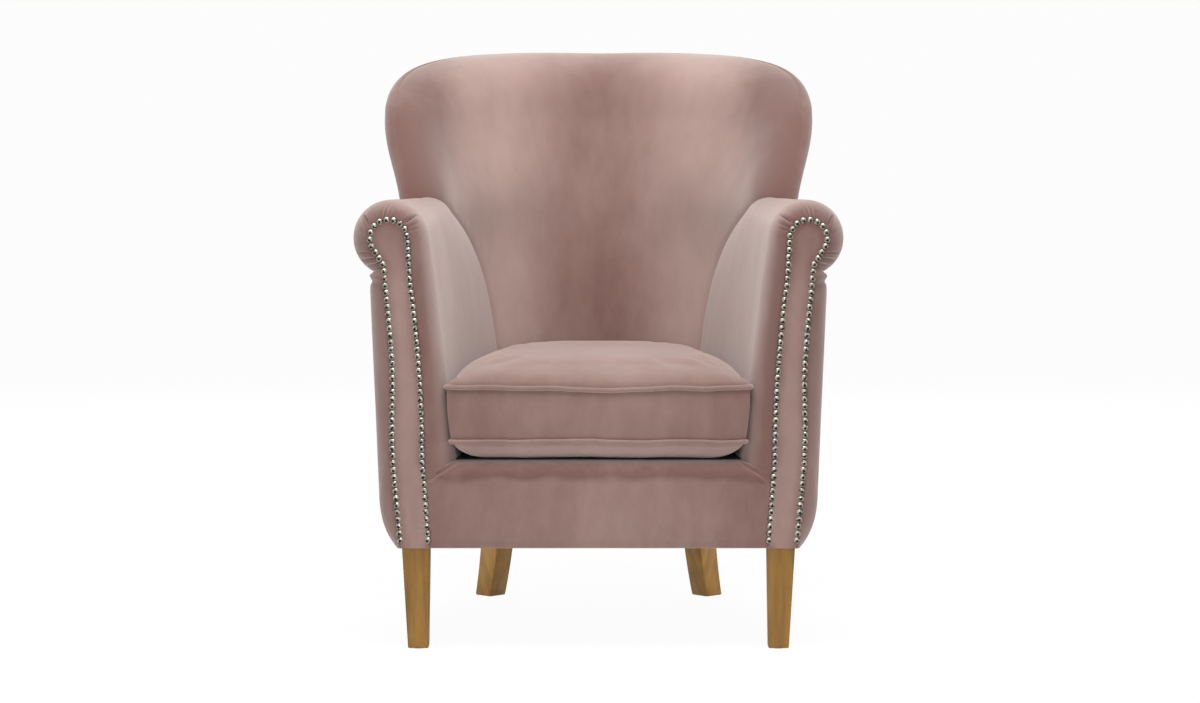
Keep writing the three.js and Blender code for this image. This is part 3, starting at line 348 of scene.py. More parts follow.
@dataclass(frozen=True)
class BackForm:
    """The barrel back: a middle surface of plan ellipses, with padding in front and a cover behind."""

    height: float = 911
    hem: float = 154
    deck: float = 286.3
    half_widths: Triple = (288, 300, 331)
    waist: float = 300
    flare: float = 645
    shoulder: float = 800
    wing_depth: float = 350
    wing_sweep: float = 100
    wing_foot: float = 669
    wing_softness: float = 0.3
    hem_depth: float = 640
    rake: float = math.radians(6)
    crest_power: float = 3
    crest_root: float = 1 / 1.75
    dip: float = 1.5
    dip_width: float = 60
    side_pad: float = 58
    lumbar_pad: float = 110
    head_pad: float = 72
    lumbar: float = 430
    edge_roll: float = 58
    cover: float = 17
    cover_roll: float = 16
    joint: float = 0.3
    pocket: float = 24
    wrap: Pair = (16, 36)

    def half_width(self, z: Grid) -> Grid:
        """Half the barrel's width at a height.

        Args:
            z: Heights.

        Returns:
            One half width for each height.
        """
        hem, waist, shoulder = self.half_widths
        swell = (waist - hem) * smoothstep(z, self.hem, self.waist)
        return hem + swell + (shoulder - waist) * smoothstep(z, self.flare, self.shoulder)

    def wing_front(self, z: Grid) -> Grid:
        """Depth of the wings' front edge at a height."""
        t = (z - self.wing_foot) / (self.shoulder - self.wing_foot)
        return self.wing_depth + self.wing_sweep * (t + np.hypot(t, self.wing_softness)) / 2

    def depth(self, z: Grid) -> Grid:
        """Depth of the barrel at its middle at a height."""
        return self.hem_depth + (z - self.hem) * math.tan(self.rake)

    def span(self, z: Grid) -> Grid:
        """Depth of the barrel from the wings' front edge to its middle at a height."""
        return self.depth(z) - self.wing_front(z)

    def padding(self, angle: Grid, z: Grid) -> Grid:
        """Thickness of the padding, before its edges roll over."""
        rise = np.clip((z - self.lumbar) / (self.shoulder - self.lumbar), 0, 1)
        return lerp(self.side_pad, lerp(self.lumbar_pad, self.head_pad, rise), np.cos(angle) ** 2)

    def point(self, angle: Grid, z: Grid, offset: Grid) -> Grid:
        """Points off the middle surface.

        Args:
            angle: Angle round the barrel from its middle.
            z: Height.
            offset: Distance towards the sitter.

        Returns:
            Points, with x, y and z as the last axis.
        """
        a, b, front = self.half_width(z), self.span(z), self.wing_front(z)
        out = joined(np.sin(angle) / a, np.cos(angle) / b)
        out /= np.linalg.norm(out, axis=-1, keepdims=True)
        x = a * np.sin(angle) - out[..., 0] * offset
        y = front + b * np.cos(angle) - out[..., 1] * offset
        return joined(x, y, z)

    def crest(self, angle: Grid) -> Grid:
        """Height of the crest at an angle.

        Args:
            angle: Angles round the barrel from its middle.

        Returns:
            One height for each angle.
        """
        t = np.minimum(1, np.abs(angle) / QUARTER)
        arch = (1 - t**self.crest_power) ** self.crest_root
        x = self.half_widths[2] * np.sin(angle)
        return self.shoulder + (self.height - self.shoulder) * arch - self.dip * bell(x, self.dip_width)

    def inward(self, angle: Grid, z: Grid) -> tuple[Grid, Grid]:
        """Distances in from the wing's edge and down from the crest."""
        return (QUARTER - np.abs(angle)) * self.span(z), self.crest(angle) - z

    def front_offset(self, angle: Grid, z: Grid) -> Grid:
        """How far the padding stands off the middle surface."""
        side, top = self.inward(angle, z)
        return self.padding(angle, z) * roundness(side, self.edge_roll) * roundness(top, self.edge_roll)

    def seat_offset(self, angle: Grid, z: Grid) -> Grid:
        """How far the back of the padding stands off the middle surface, over the boards."""
        side, top = self.inward(angle, z)
        return self.pocket * smoothstep(np.minimum(side, top), *self.wrap)

    def cover_offset(self, angle: Grid, z: Grid) -> Grid:
        """How far the outside cover stands behind the middle surface, as a negative offset."""
        rolls = [roundness(gap, self.cover_roll) for gap in (*self.inward(angle, z), z - self.hem)]
        return -self.joint - self.cover * (rolls[0] * rolls[1]) * rolls[2]

    def clearance(self, p: Grid) -> Grid:
        """Distance of points in front of the padded back, negative behind its surface.

        Args:
            p: Points, with x, y and z as the last axis.

        Returns:
            One distance a point.
        """
        x, y, z = np.abs(p[..., 0]), p[..., 1], p[..., 2]
        a, b, front = self.half_width(z), self.span(z), self.wing_front(z)
        across, behind = x / a, np.maximum(0, y - front) / b
        r = np.maximum(np.hypot(across, behind), TINY)
        slope = np.hypot(across / a, behind / b) / r
        angle = np.arctan2(across, behind)
        inside = (1 - r) / slope - self.front_offset(angle, np.minimum(z, self.crest(angle)))
        ahead = np.hypot(front - y, np.maximum(0, a - x))
        return np.where(y < front, ahead, inside)


# Shape of the arms


@dataclass(frozen=True)
class ArmForm:
    """A scroll arm: an inner face that runs into a roll, an outer face and a nailed front."""

    length: float = 517
    ease: float = 1.5
    foot: Pair = (217, 149)
    base: float = 286.3
    hem: float = 154
    roll_x: Pair = (312, 274)
    roll_z: Pair = (620, 633)
    radius: Pair = (57, 40)
    join: Pair = (math.radians(172), math.radians(130))
    end: float = math.radians(-62)
    lean: float = 0.1
    lean_length: Pair = (116, 184)
    pull: Pair = (40, 90)
    outer: Pair = (344, 317)
    belly: Pair = (331, 317)
    outer_hem: Pair = (305, 288)
    belly_height: float = 237
    hem_roll: float = 28
    tuck_drop: float = 10
    seam_drop: float = 0.6
    wing_depth: float = 350
    nose: float = 42
    outer_nose: float = 28
    seam: Pair = (265, 286.3)
    knee: Pair = (283, 560)
    bulb: Pair = (314, 620)
    bulb_radius: float = 28
    bulb_turn: Pair = (math.radians(172), math.radians(-22))
    neck: Pair = (321.5, 580)
    neck_gap: float = 0.8
    waist: Pair = (309, 430)
    belly_x: Pair = (309, 300)
    outer_foot: Pair = (297, 154)
    inner_foot: Pair = (255.5, 154)
    knee_places: tuple[float, ...] = (0, 0.6, 0.7, 0.8, 1)
    knee_shares: tuple[float, ...] = (0, 0.75, 1, 4 / 3, 2)
    fold_place: float = 1.25
    belly_place: float = 4
    hem_place: float = 8
    fold_share: float = 0.08

    def eased(self, pair: Pair, y: Grid) -> Grid:
        """A size that changes late along the arm."""
        return lerp(*pair, np.clip(y / self.length, 0, 1) ** self.ease)

    def to_wing(self, pair: Pair, y: Grid) -> Grid:
        """A size that changes evenly from the front to the wing."""
        return lerp(*pair, np.clip((y - self.nose) / (self.wing_depth - self.nose), 0, 1))

    def roll_centre(self, y: Grid) -> tuple[Grid, Grid]:
        """Place across and height of the roll's centre at depths."""
        return self.to_wing(self.roll_x, y), self.to_wing(self.roll_z, y)

    def section(self, y: Grid, u: Grid) -> Grid:
        """Inner face for u from 0 to 1 and roll for u from 1 to 2.

        Args:
            y: Depths.
            u: Places along the section, of a like shape.

        Returns:
            Points, with x and z as the last axis.
        """
        y, u = np.broadcast_arrays(y, u)
        x, z = self.roll_centre(y)
        radius, join = self.to_wing(self.radius, y), self.eased(self.join, y)
        foot = joined(self.eased(self.foot, y), self.base)
        lean = np.array([self.lean, 1]) * self.eased(self.lean_length, y)[..., None]
        top = polar(x, z, radius, join)
        pull = joined(np.sin(join), -np.cos(join)) * self.eased(self.pull, y)[..., None]
        face = bezier([foot, foot + lean, top - pull, top], np.clip(u, 0, 1))
        roll = polar(x, z, radius, lerp(join, self.end, np.clip(u - 1, 0, 1)))
        return np.where(u[..., None] < 1, face, roll)

    def facing(self, u: Grid) -> Grid:
        """Nailed outline that the section's u runs out to at the front.

        Args:
            u: Places along the section.

        Returns:
            Points, with x and z as the last axis.
        """
        seam, knee = np.array(self.seam), np.array(self.knee)
        pull = np.array([self.seam[0], (self.seam[1] + self.knee[1]) / 2])
        start, end = self.bulb_turn
        head = polar(*self.bulb, self.bulb_radius, np.linspace(start, end, 80))
        s = np.interp(np.clip(u, 0, 1), self.knee_places, self.knee_shares)
        lower = bezier([seam, pull, knee], np.clip(s, 0, 1))
        stem = lerp(knee, head[0], np.clip(s - 1, 0, 1)[..., None])
        face = np.where(s[..., None] < 1, lower, stem)
        turn = along_path(np.vstack([head, [self.neck]]), np.clip(u - 1, 0, 1))
        return np.where(u[..., None] < 1, face, turn)

    def outer_section(self, y: Grid, q: Grid) -> Grid:
        """Outer face, from under the roll over its top fold and its belly to the hem.

        Args:
            y: Depths.
            q: Places along the section, from 0 to hem_place.

        Returns:
            Points, with x and z as the last axis.
        """
        y, q = np.broadcast_arrays(y, q)
        x, z = self.roll_centre(y)
        tuck = polar(x, z - self.seam_drop, self.to_wing(self.radius, y), self.end)
        top = joined(self.to_wing(self.outer, y), tuck[..., 1] - self.tuck_drop)
        belly_x = self.to_wing(self.belly, y)
        belly = joined(belly_x, self.belly_height)
        corner = joined(belly_x, self.hem + self.hem_roll)
        hem = joined(self.to_wing(self.outer_hem, y), self.hem)
        after = lerp(top, belly, self.fold_share)
        fold = bezier([tuck, top, after], np.clip(q / self.fold_place, 0, 1))
        down = (q - self.fold_place) / (self.belly_place - self.fold_place)
        upper = lerp(after, belly, np.clip(down, 0, 1)[..., None])
        under = (q - self.belly_place) / (self.hem_place - self.belly_place)
        lower = bezier([belly, corner, hem], np.clip(under, 0, 1))
        below = np.where(q[..., None] < self.belly_place, upper, lower)
        return np.where(q[..., None] < self.fold_place, fold, below)

    def outer_facing(self, q: Grid) -> Grid:
        """Nailed outline that the outer section's q runs out to at the front."""
        neck = (self.neck[0], self.neck[1] - self.neck_gap)
        return along_path(catmull([neck, self.waist, self.belly_x, self.outer_foot], 24), q / self.hem_place)

    def face_line(self, y: Grid, z: Grid, shares: Grid) -> tuple[Grid, Grid]:
        """Where the inner face is at depths and heights.

        Args:
            y: Depths.
            z: Heights.
            shares: Places along the section between which it is taken as straight.

        Returns:
            Its distances from the chair's middle, and the heights at which the face ends.
        """
        line = self.section(y[..., None], shares)
        step = np.clip((line[..., 1] < z[..., None]).sum(-1), 1, len(shares) - 1)[..., None]
        low, high = (np.take_along_axis(line, (step - k)[..., None], -2)[..., 0, :] for k in (1, 0))
        rise = np.clip((z - low[..., 1]) / (high[..., 1] - low[..., 1]), 0, 1)
        return lerp(low[..., 0], high[..., 0], rise), line[..., -1, 1]

    def clearance(self, p: Grid) -> Grid:
        """Distance of points from the arm's inner face or roll, negative inside the arm.

        Args:
            p: Points, with x, y and z as the last axis.

        Returns:
            One distance a point.
        """
        x, y, z = np.abs(p[..., 0]), p[..., 1], p[..., 2]
        face, top = self.face_line(y, z, np.linspace(0, 0.999, 24))
        centre_x, centre_z = self.roll_centre(y)
        roll = np.hypot(x - centre_x, z - centre_z) - self.to_wing(self.radius, y)
        return np.where(z < top, face - x, roll)


def catmull(knots: list[Pair], per: int) -> Grid:
    """Smooth curve through points.

    Args:
        knots: Points to pass through.
        per: Steps from one to the next.

    Returns:
        Points of the curve.
    """
    points = np.array(knots)
    padded = np.vstack([2 * points[0] - points[1], points, 2 * points[-1] - points[-2]])
    t = np.linspace(0, 1, per, endpoint=False)[:, None]
    made = []
    for a, b, c, d in zip(padded, padded[1:], padded[2:], padded[3:]):
        square, cube = a - 2.5 * b + 2 * c - d / 2, 1.5 * (b - c) + (d - a) / 2
        made.append(b + (c - a) * t / 2 + square * t**2 + cube * t**3)
    return np.vstack([*made, points[-1:]])


# Shader node groups


class Graph:
    """Short ways to add and join nodes of one material or group."""

    def __init__(self, tree: NodeTree) -> None:
        """Keeps the tree that nodes are added to."""
        self.tree = tree

    def fill(self, node: Node, inputs: dict) -> Node:
        """Sets or joins inputs of a node.

        Args:
            node: The node.
            inputs: Values or sockets by input name or number.

        Returns:
            The node.
        """
        for key, value in inputs.items():
            if isinstance(value, Socket):
                self.tree.links.new(value, node.inputs[key])
            else:
                node.inputs[key].default_value = value
        return node

    def add(self, kind: str, inputs: dict | None = None, **settings: object) -> Node:
        """Adds a node.

        Args:
            kind: Name of the node's class.
            inputs: Values or sockets by input name or number.
            settings: Properties of the node.

        Returns:
            The new node.
        """
        node = self.tree.nodes.new(kind)
        for key, value in settings.items():
            setattr(node, key, value)
        return self.fill(node, inputs or {})

    def noise(self, vector: Socket, scale: object, detail: float, rough: float = 0.5) -> Socket:
        """Noise texture's value over a vector."""
        inputs = {"Vector": vector, "Scale": scale, "Detail": detail, "Roughness": rough}
        return self.add("ShaderNodeTexNoise", inputs).outputs[0]

    def math(self, operation: str, a: object, b: object = 0.0) -> Socket:
        """Result of a Math node."""
        return self.add("ShaderNodeMath", {0: a, 1: b}, operation=operation).outputs[0]

    def times(self, a: object, b: object) -> Socket:
        """Product of two values."""
        return self.math("MULTIPLY", a, b)

    def plus(self, a: object, b: object) -> Socket:
        """Sum of two values."""
        return self.math("ADD", a, b)

    def ramp(self, value: object, low: float, high: float, to_low: float = 0, to_high: float = 1) -> Socket:
        """Value mapped from one range to another and held at its ends."""
        inputs = {0: value, 1: low, 2: high, 3: to_low, 4: to_high}
        return self.add("ShaderNodeMapRange", inputs).outputs[0]

    def mix(self, share: object, a: object, b: object) -> Socket:
        """Mix of two colours."""
        a, b = (colour if isinstance(colour, Socket) else (*colour, 1) for colour in (a, b))
        return self.add("ShaderNodeMix", {0: share, 6: a, 7: b}, data_type="RGBA").outputs[2]

    def vector(self, operation: str, a: Socket, b: object) -> Socket:
        """Result of a Vector Math node."""
        return self.add("ShaderNodeVectorMath", {0: a, 1: b}, operation=operation).outputs[0]

    def tone(self) -> Socket:
        """Tone stored with the mesh, or 0 where there is none."""
        return self.add("ShaderNodeAttribute", attribute_name=TONE).outputs["Fac"]

    def seen(self) -> Socket:
        """1 for rays from the camera and mirror-like ones, and 0 for the others."""
        path = self.add("ShaderNodeLightPath").outputs
        return self.math("MAXIMUM", path["Is Camera Ray"], path["Is Glossy Ray"])

    def group(self, name: str, **values: object) -> bpy.types.NodeOutputs:
        """Outputs of a shared group over the object's own coordinates, in metres."""
        inputs = {"Vector": self.add("ShaderNodeTexCoord").outputs["Object"], **values}
        return self.add("ShaderNodeGroup", inputs, node_tree=bpy.data.node_groups[name]).outputs

    def surface(
        self, colour: Socket, rough: Socket, height: Socket, depth: float, others: dict | None = None
    ) -> None:
        """Joins colour, roughness and a bump to the material's shader.

        Args:
            colour: Socket for Base Color.
            rough: Socket for Roughness.
            height: Socket for the bump's height.
            depth: Depth of the bump in millimetres.
            others: Further inputs of the shader by name.
        """
        bump = self.add("ShaderNodeBump", {"Height": height, "Distance": depth * MM, "Strength": 1.0})
        inputs = {"Base Color": colour, "Roughness": rough, "Normal": bump.outputs[0], **(others or {})}
        self.fill(self.tree.nodes["Principled BSDF"], inputs)


def new_group(name: str, inputs: dict[str, float], outputs: tuple[str, ...]) -> tuple:
    """Starts a shader node group whose sockets are all floats but its Vector.

    Args:
        name: Name of the group.
        inputs: Default of each float input.
        outputs: Names of the float outputs.

    Returns:
        Its graph, the sockets that it is given and its output node.
    """
    group = bpy.data.node_groups.new(name, "ShaderNodeTree")
    group.interface.new_socket("Vector", in_out="INPUT", socket_type="NodeSocketVector")
    for key, value in inputs.items():
        socket = group.interface.new_socket(key, in_out="INPUT", socket_type="NodeSocketFloat")
        socket.default_value = value
    for key in outputs:
        group.interface.new_socket(key, in_out="OUTPUT", socket_type="NodeSocketFloat")
    graph = Graph(group)
    return graph, graph.add("NodeGroupInput").outputs, graph.add("NodeGroupOutput")


def make_pile() -> None:
    """Velvet pile: a mask of random nap round a tone that carries painted shade and painted light, and its
    height.
    """
    inputs = {"Tone": 0.5, "Patch": 9, "Spread": 0.5, "Fibre": 900}
    g, given, result = new_group("pile", inputs, ("Nap", "Height"))
    broad_share, fine_share, speck_share, fibre_height = 0.62, 0.38, 0.35, 0.4
    drawn_broad, drawn_fine, brush_scale = (1, 1, 0.35), (1, 1, 0.5), 48
    patch = g.noise(g.vector("MULTIPLY", given["Vector"], drawn_broad), given["Patch"], 3, 0.55)
    brushed = g.noise(g.vector("MULTIPLY", given["Vector"], drawn_fine), brush_scale, 3, 0.6)
    fibre = g.noise(given["Vector"], given["Fibre"], 1)
    broad = g.times(g.ramp(patch, 0.3, 0.7, -0.5, 0.5), broad_share)
    fine = g.times(g.ramp(brushed, 0.25, 0.75, -0.5, 0.5), fine_share)
    speck = g.times(g.math("SUBTRACT", fibre, 0.5), speck_share)
    swing = g.times(g.plus(g.plus(broad, fine), speck), given["Spread"])
    # the tone this mask is built round holds each piece's painted shade and painted light
    nap = g.ramp(g.plus(swing, given["Tone"]), 0, 1)
    height = g.plus(g.times(fibre, fibre_height), g.times(brushed, 1 - fibre_height))
    g.fill(result, {"Nap": nap, "Height": height})


def make_grain() -> None:
    """Wood grain along the piece's height: masks of streaks and of pores."""
    g, given, result = new_group("grain", {"Rings": 60, "Run": 0.07}, ("Streak", "Pore"))
    waver_scale, waver_reach, pore_scale, pore_run = 14, 0.02, 900, (1, 1, 0.03)
    squeeze = g.add("ShaderNodeCombineXYZ", {0: 1.0, 1: 1.0, 2: given["Run"]}).outputs[0]
    drawn = g.vector("MULTIPLY", given["Vector"], squeeze)
    waver = g.times(g.noise(drawn, waver_scale, 2), waver_reach)
    wide = g.noise(g.vector("ADD", drawn, waver), given["Rings"], 4, 0.6)
    pores = g.noise(g.vector("MULTIPLY", given["Vector"], pore_run), pore_scale, 2, 0.6)
    g.fill(result, {"Streak": g.ramp(wide, 0.35, 0.68), "Pore": g.ramp(pores, 0.55, 0.75)})


def make_weave() -> None:
    """Plain weave: a mask of the threads that lie on top."""
    g, given, result = new_group("weave", {"Threads": 700}, ("Thread",))
    parts = g.add("ShaderNodeSeparateXYZ", {0: given["Vector"]}).outputs
    waves = [g.math("ABSOLUTE", g.math("SINE", g.times(part, given["Threads"]))) for part in parts]
    g.fill(result, {"Thread": g.times(waves[0], g.math("MAXIMUM", waves[1], waves[2]))})


def make_wear() -> None:
    """Handling marks: a mask of dull and rubbed patches."""
    g, given, result = new_group("wear", {"Patch": 60}, ("Rubbed",))
    cloud = g.noise(given["Vector"], given["Patch"], 4, 0.65)
    g.fill(result, {"Rubbed": g.ramp(cloud, 0.38, 0.66)})


# Finishes


@dataclass(frozen=True)
class Finish:
    """A named finish, which each kind paints in its own way."""

    name: str

    def material(self) -> Material:
        """Makes the material.

        Returns:
            The material.
        """
        material = bpy.data.materials.new(self.name)
        material.use_nodes = True
        self.paint(Graph(material.node_tree))
        return material


@dataclass(frozen=True)
class Velvet(Finish):
    """Short-pile velvet, darker where its nap points at the eye and lighter on the turn from its sheen; each
    piece's tone also paints shade and highlights into its colour, between its dark and light colours.
    """

    # dark and light are the ends of each piece's tone, so they carry painted shade and painted highlights as
    # well as the velvet's own colour
    dark: Colour = (0.088, 0.028, 0.021)
    light: Colour = (0.272, 0.180, 0.158)
    tint: Colour = (0.48, 0.432, 0.408)
    sheen: float = 1.0
    sheen_rough: float = 0.7
    gloss: float = 0.1
    roughs: Pair = (0.95, 0.8)
    spread: float = 0.4
    patch: float = 9
    fibre: float = 900
    depth: float = 0.35

    def paint(self, g: Graph) -> None:
        """Lays the pile round each piece's tone, which carries painted shade and painted highlights, under a
        sheen.

        Args:
            g: Graph of the material.
        """
        pile = g.group("pile", Tone=g.tone(), Patch=self.patch, Fibre=self.fibre, Spread=self.spread)
        colour, rough = g.mix(pile["Nap"], self.dark, self.light), g.ramp(pile["Nap"], 0, 1, *self.roughs)
        sheen = {
            "Sheen Weight": self.sheen, "Sheen Roughness": self.sheen_rough,
            "Sheen Tint": (*self.tint, 1), "Specular IOR Level": self.gloss,
        }
        g.surface(colour, rough, pile["Height"], self.depth, sheen)


@dataclass(frozen=True)
class Wood(Finish):
    """Wood with grain along its length."""

    dark: Colour
    light: Colour
    pore: Colour
    rough: float = 0.5
    coat: float = 0.1
    rings: float = 60
    patch: float = 30
    worn: float = 0.12
    pore_share: float = 0.35
    pore_depth: float = 0.05
    coat_rough: float = 0.3
    gloss: float = 0.3

    def paint(self, g: Graph) -> None:
        """Lays streaks, pores and a thin coat that is rubbed in places.

        Args:
            g: Graph of the material.
        """
        grain = g.group("grain", Rings=self.rings)
        rubbed = g.group("wear", Patch=self.patch)["Rubbed"]
        base = g.mix(grain["Streak"], self.light, self.dark)
        colour = g.mix(g.times(grain["Pore"], self.pore_share), base, self.pore)
        rough = g.ramp(rubbed, 0, 1, self.rough, self.rough + self.worn)
        coat = {
            "Coat Weight": self.coat, "Coat Roughness": self.coat_rough, "Specular IOR Level": self.gloss,
        }
        g.surface(colour, rough, grain["Pore"], -self.pore_depth, coat)


@dataclass(frozen=True)
class Cloth(Finish):
    """Plain woven cloth."""

    low: Colour
    high: Colour
    threads: float
    depth: float = 0.15
    patch: float = 25
    thread_share: float = 0.7
    roughs: Pair = (0.9, 0.8)

    def paint(self, g: Graph) -> None:
        """Lays the weave, paler on its threads and where it is rubbed.

        Args:
            g: Graph of the material.
        """
        thread = g.group("weave", Threads=self.threads)["Thread"]
        rubbed = g.group("wear", Patch=self.patch)["Rubbed"]
        share = g.plus(g.times(thread, self.thread_share), g.times(rubbed, 1 - self.thread_share))
        colour = g.mix(share, self.low, self.high)
        g.surface(colour, g.ramp(rubbed, 0, 1, *self.roughs), thread, self.depth)


@dataclass(frozen=True)
class Metal(Finish):
    """Metal with dulled patches, and painted shade from each piece's tone."""

    bright: Colour
    dull: Colour
    rough: float = 0.25
    patch: float = 200
    patch_share: float = 0.6
    worn: float = 0.25
    depth: float = 0.05

    def paint(self, g: Graph) -> None:
        """Dulls the metal in patches, and by each piece's tone, which on the nails paints shade and a dark
        reflection.

        Args:
            g: Graph of the material.
        """
        rubbed = g.group("wear", Patch=self.patch)["Rubbed"]
        # worn patches plus the piece's tone; on the nails the tone is painted shade and a painted dark
        # reflection
        dull = g.ramp(g.plus(g.times(rubbed, self.patch_share), g.tone()), 0, 1)
        rough = g.ramp(dull, 0, 1, self.rough, self.rough + self.worn)
        g.surface(g.mix(dull, self.bright, self.dull), rough, rubbed, self.depth, {"Metallic": 1})


@dataclass(frozen=True)
class Moulded(Finish):
    """Foam or moulded plastic."""

    low: Colour
    high: Colour
    rough: float
    lumps: float
    worn: float = 0.1
    depth: float = 0.1

    def paint(self, g: Graph) -> None:
        """Varies colour and roughness over lumps.

        Args:
            g: Graph of the material.
        """
        rubbed = g.group("wear", Patch=self.lumps)["Rubbed"]
        rough = g.ramp(rubbed, 0, 1, self.rough, self.rough + self.worn)
        g.surface(g.mix(rubbed, self.low, self.high), rough, rubbed, self.depth)


def make_finishes() -> dict[str, Material]:
    """Makes every material of the chair.

    Returns:
        The materials by the record's slots.
    """
    for make in (make_pile, make_grain, make_weave, make_wear):
        make()
    oak = ((0.142, 0.067, 0.0075), (0.245, 0.124, 0.017), (0.07, 0.03, 0.004))
    pine = ((0.52, 0.36, 0.19), (0.66, 0.5, 0.3), (0.35, 0.22, 0.1))
    finishes = {
        "velvet": Velvet("dusty_pink_velvet"),
        "leg_wood": Wood("satin_oak", *oak),
        "frame_timber": Wood("sawn_hardwood", *pine, rough=0.75, coat=0, rings=45),
        "black_lining": Cloth("black_lining", (0.004, 0.004, 0.005), (0.016, 0.016, 0.018), 2600),
        "webbing": Cloth("webbing", (0.012, 0.011, 0.012), (0.05, 0.048, 0.05), 1400),
        "nail_metal": Metal("antique_nickel", (0.47, 0.45, 0.38), (0.022, 0.018, 0.014), 0.22, 420),
        "steel": Metal("zinc_steel", (0.5, 0.51, 0.53), (0.32, 0.32, 0.33), 0.4, 80),
        "foam": Moulded("foam", (0.72, 0.66, 0.46), (0.8, 0.75, 0.56), 0.95, 300),
        "nylon": Moulded("nylon", (0.06, 0.04, 0.025), (0.08, 0.055, 0.035), 0.5, 120),
    }
    return {slot: finish.material() for slot, finish in finishes.items()}


# Back


@dataclass
class Back(Assembly):
    """Padded inner back and the cover behind it."""

    form: BackForm
    arm: ArmForm
    columns: int = 221
    rows: int = 90
    edge_rows: int = 16
    seam_sink: float = 3
    seam_radius: float = 7
    soft_roll: float = 92
    fill: float = 18
    pucker: float = 1.1
    corner_rise: Pair = (560, 740)
    pucker_size: float = 7
    pucker_reach: float = 11
    edge_groove: float = 1.6
    groove_width: float = 3
    ripple: float = 0.7
    ripple_size: float = 90
    cover_ripple_size: float = 120
    # The fields below set the back's painted light bands, painted shade on the wings and down the middle, and
    # painted highlight on the crest
    nap: float = 0.47
    band: Triple = (165, 75, 0.36)
    beside_across: Pair = (60, 170)
    beside_up: Pair = (560, 680)
    beside_light: float = 0.18
    wing_across: Pair = (205, 285)
    wing_up: Pair = (600, 690)
    wing_top: Pair = (815, 890)
    wing_dark: float = 0.76
    middle_width: float = 85
    middle_up: Pair = (420, 800)
    middle_dark: Pair = (0.37, 0.06)
    rim: Pair = (8, 48)
    rim_light: float = 0.14
    cover_nap: float = 0.4
    cover_edge: float = 30
    cover_edge_dark: float = 0.34

    def grid(self, bottom: float, roll: float) -> tuple[Grid, Grid]:
        """Angles and heights of a grid that is closer at the wings' edges and the crest.

        Args:
            bottom: Height of its lower edge.
            roll: Radius of its rolled edges.

        Returns:
            Angles and heights, as columns by rows.
        """
        reach = roll / self.form.span(self.form.shoulder)
        edge = reach * (1 - np.cos(np.linspace(0, QUARTER, self.edge_rows)))
        inner = np.linspace(QUARTER - reach, -QUARTER + reach, self.columns - 2 * self.edge_rows + 2)
        angle = np.concatenate([QUARTER - edge, inner[1:-1], (edge - QUARTER)[::-1]])[:, None]
        crest = self.form.crest(angle)
        down = roll * (1 - np.cos(np.linspace(QUARTER, 0, self.edge_rows)))
        rise = np.linspace(0, 1, self.rows, endpoint=False)
        z = np.concatenate([lerp(bottom, crest - roll, rise), crest - down], axis=1)
        return np.broadcast_to(angle, z.shape), z

    def grooved(self, sheet: Grid, offset: Grid) -> Grid:
        """Sheet with its rolled edge drawn in a little where the two covers meet.

        Args:
            sheet: Points of the cover.
            offset: How far each stands off the middle surface.

        Returns:
            The points, moved.
        """
        pull = self.edge_groove * bell(offset, self.groove_width)
        centre = np.array([0, self.form.depth(self.form.lumbar) / 2, self.form.lumbar])
        way = centre - sheet
        way[..., 1] = 0
        return sheet + pull[..., None] * way / np.linalg.norm(way, axis=-1, keepdims=True)

    def soft_offset(self, angle: Grid, z: Grid) -> Grid:
        """How far the cover stands off the middle surface, with longer rolls than the pad's.

        Args:
            angle: Angles round the barrel from its middle.
            z: Heights.

        Returns:
            One offset for each place.
        """
        corner = self.fill * np.sin(2 * angle) ** 2 * smoothstep(z, *self.corner_rise)
        thick = self.form.padding(angle, z) + corner
        for gap in self.form.inward(angle, z):
            thick = thick * np.sqrt(1 - (1 - np.clip(gap / self.soft_roll, 0, 1)) ** 3)
        return thick

    def under_crest(self, x: Grid, z: Grid) -> Grid:
        """Distance down from the crest at distances from the middle."""
        return self.form.crest(np.arcsin(np.clip(x / self.form.half_widths[2], 0, 1))) - z

    def tone(self, p: Grid) -> Grid:
        """Tone of the padding: painted shade on the wings and down the middle, painted light in bands where
        the barrel turns and low down towards the sides, and a painted highlight along the crest.

        Args:
            p: Points, one a row.

        Returns:
            One tone a point.
        """
        x, z = np.abs(p[:, 0]), p[:, 2]
        # painted shade on the wings and down the middle, and a painted highlight along the crest
        wing = smoothstep(x, *self.wing_across) * smoothstep(z, *self.wing_up)
        wing *= 1 - 0.6 * smoothstep(z, *self.wing_top)
        beside = smoothstep(x, *self.beside_across) * (1 - smoothstep(z, *self.beside_up))
        middle = bell(x, self.middle_width) * lerp(*self.middle_dark, smoothstep(z, *self.middle_up))
        rim = 1 - smoothstep(self.under_crest(x, z), *self.rim)
        place, width, light = self.band
        # painted light in two bands where the barrel turns and low down towards the sides
        nap_and_painted_light = self.nap + light * bell(x - place, width) + self.beside_light * beside
        return nap_and_painted_light - self.wing_dark * wing - middle + self.rim_light * rim * (1 - wing)

    def cover_tone(self, p: Grid) -> Grid:
        """Tone of the outside cover: painted shade along its edges.

        Args:
            p: Points, one a row.

        Returns:
            One tone a point.
        """
        x, y, z = np.abs(p[:, 0]), p[:, 1], p[:, 2]
        edge = np.minimum(y - self.form.wing_front(z), self.under_crest(x, z))
        # painted shade along the cover's edges, against the sheen's light rim there
        return self.cover_nap - self.cover_edge_dark * (1 - smoothstep(edge, 0, self.cover_edge))

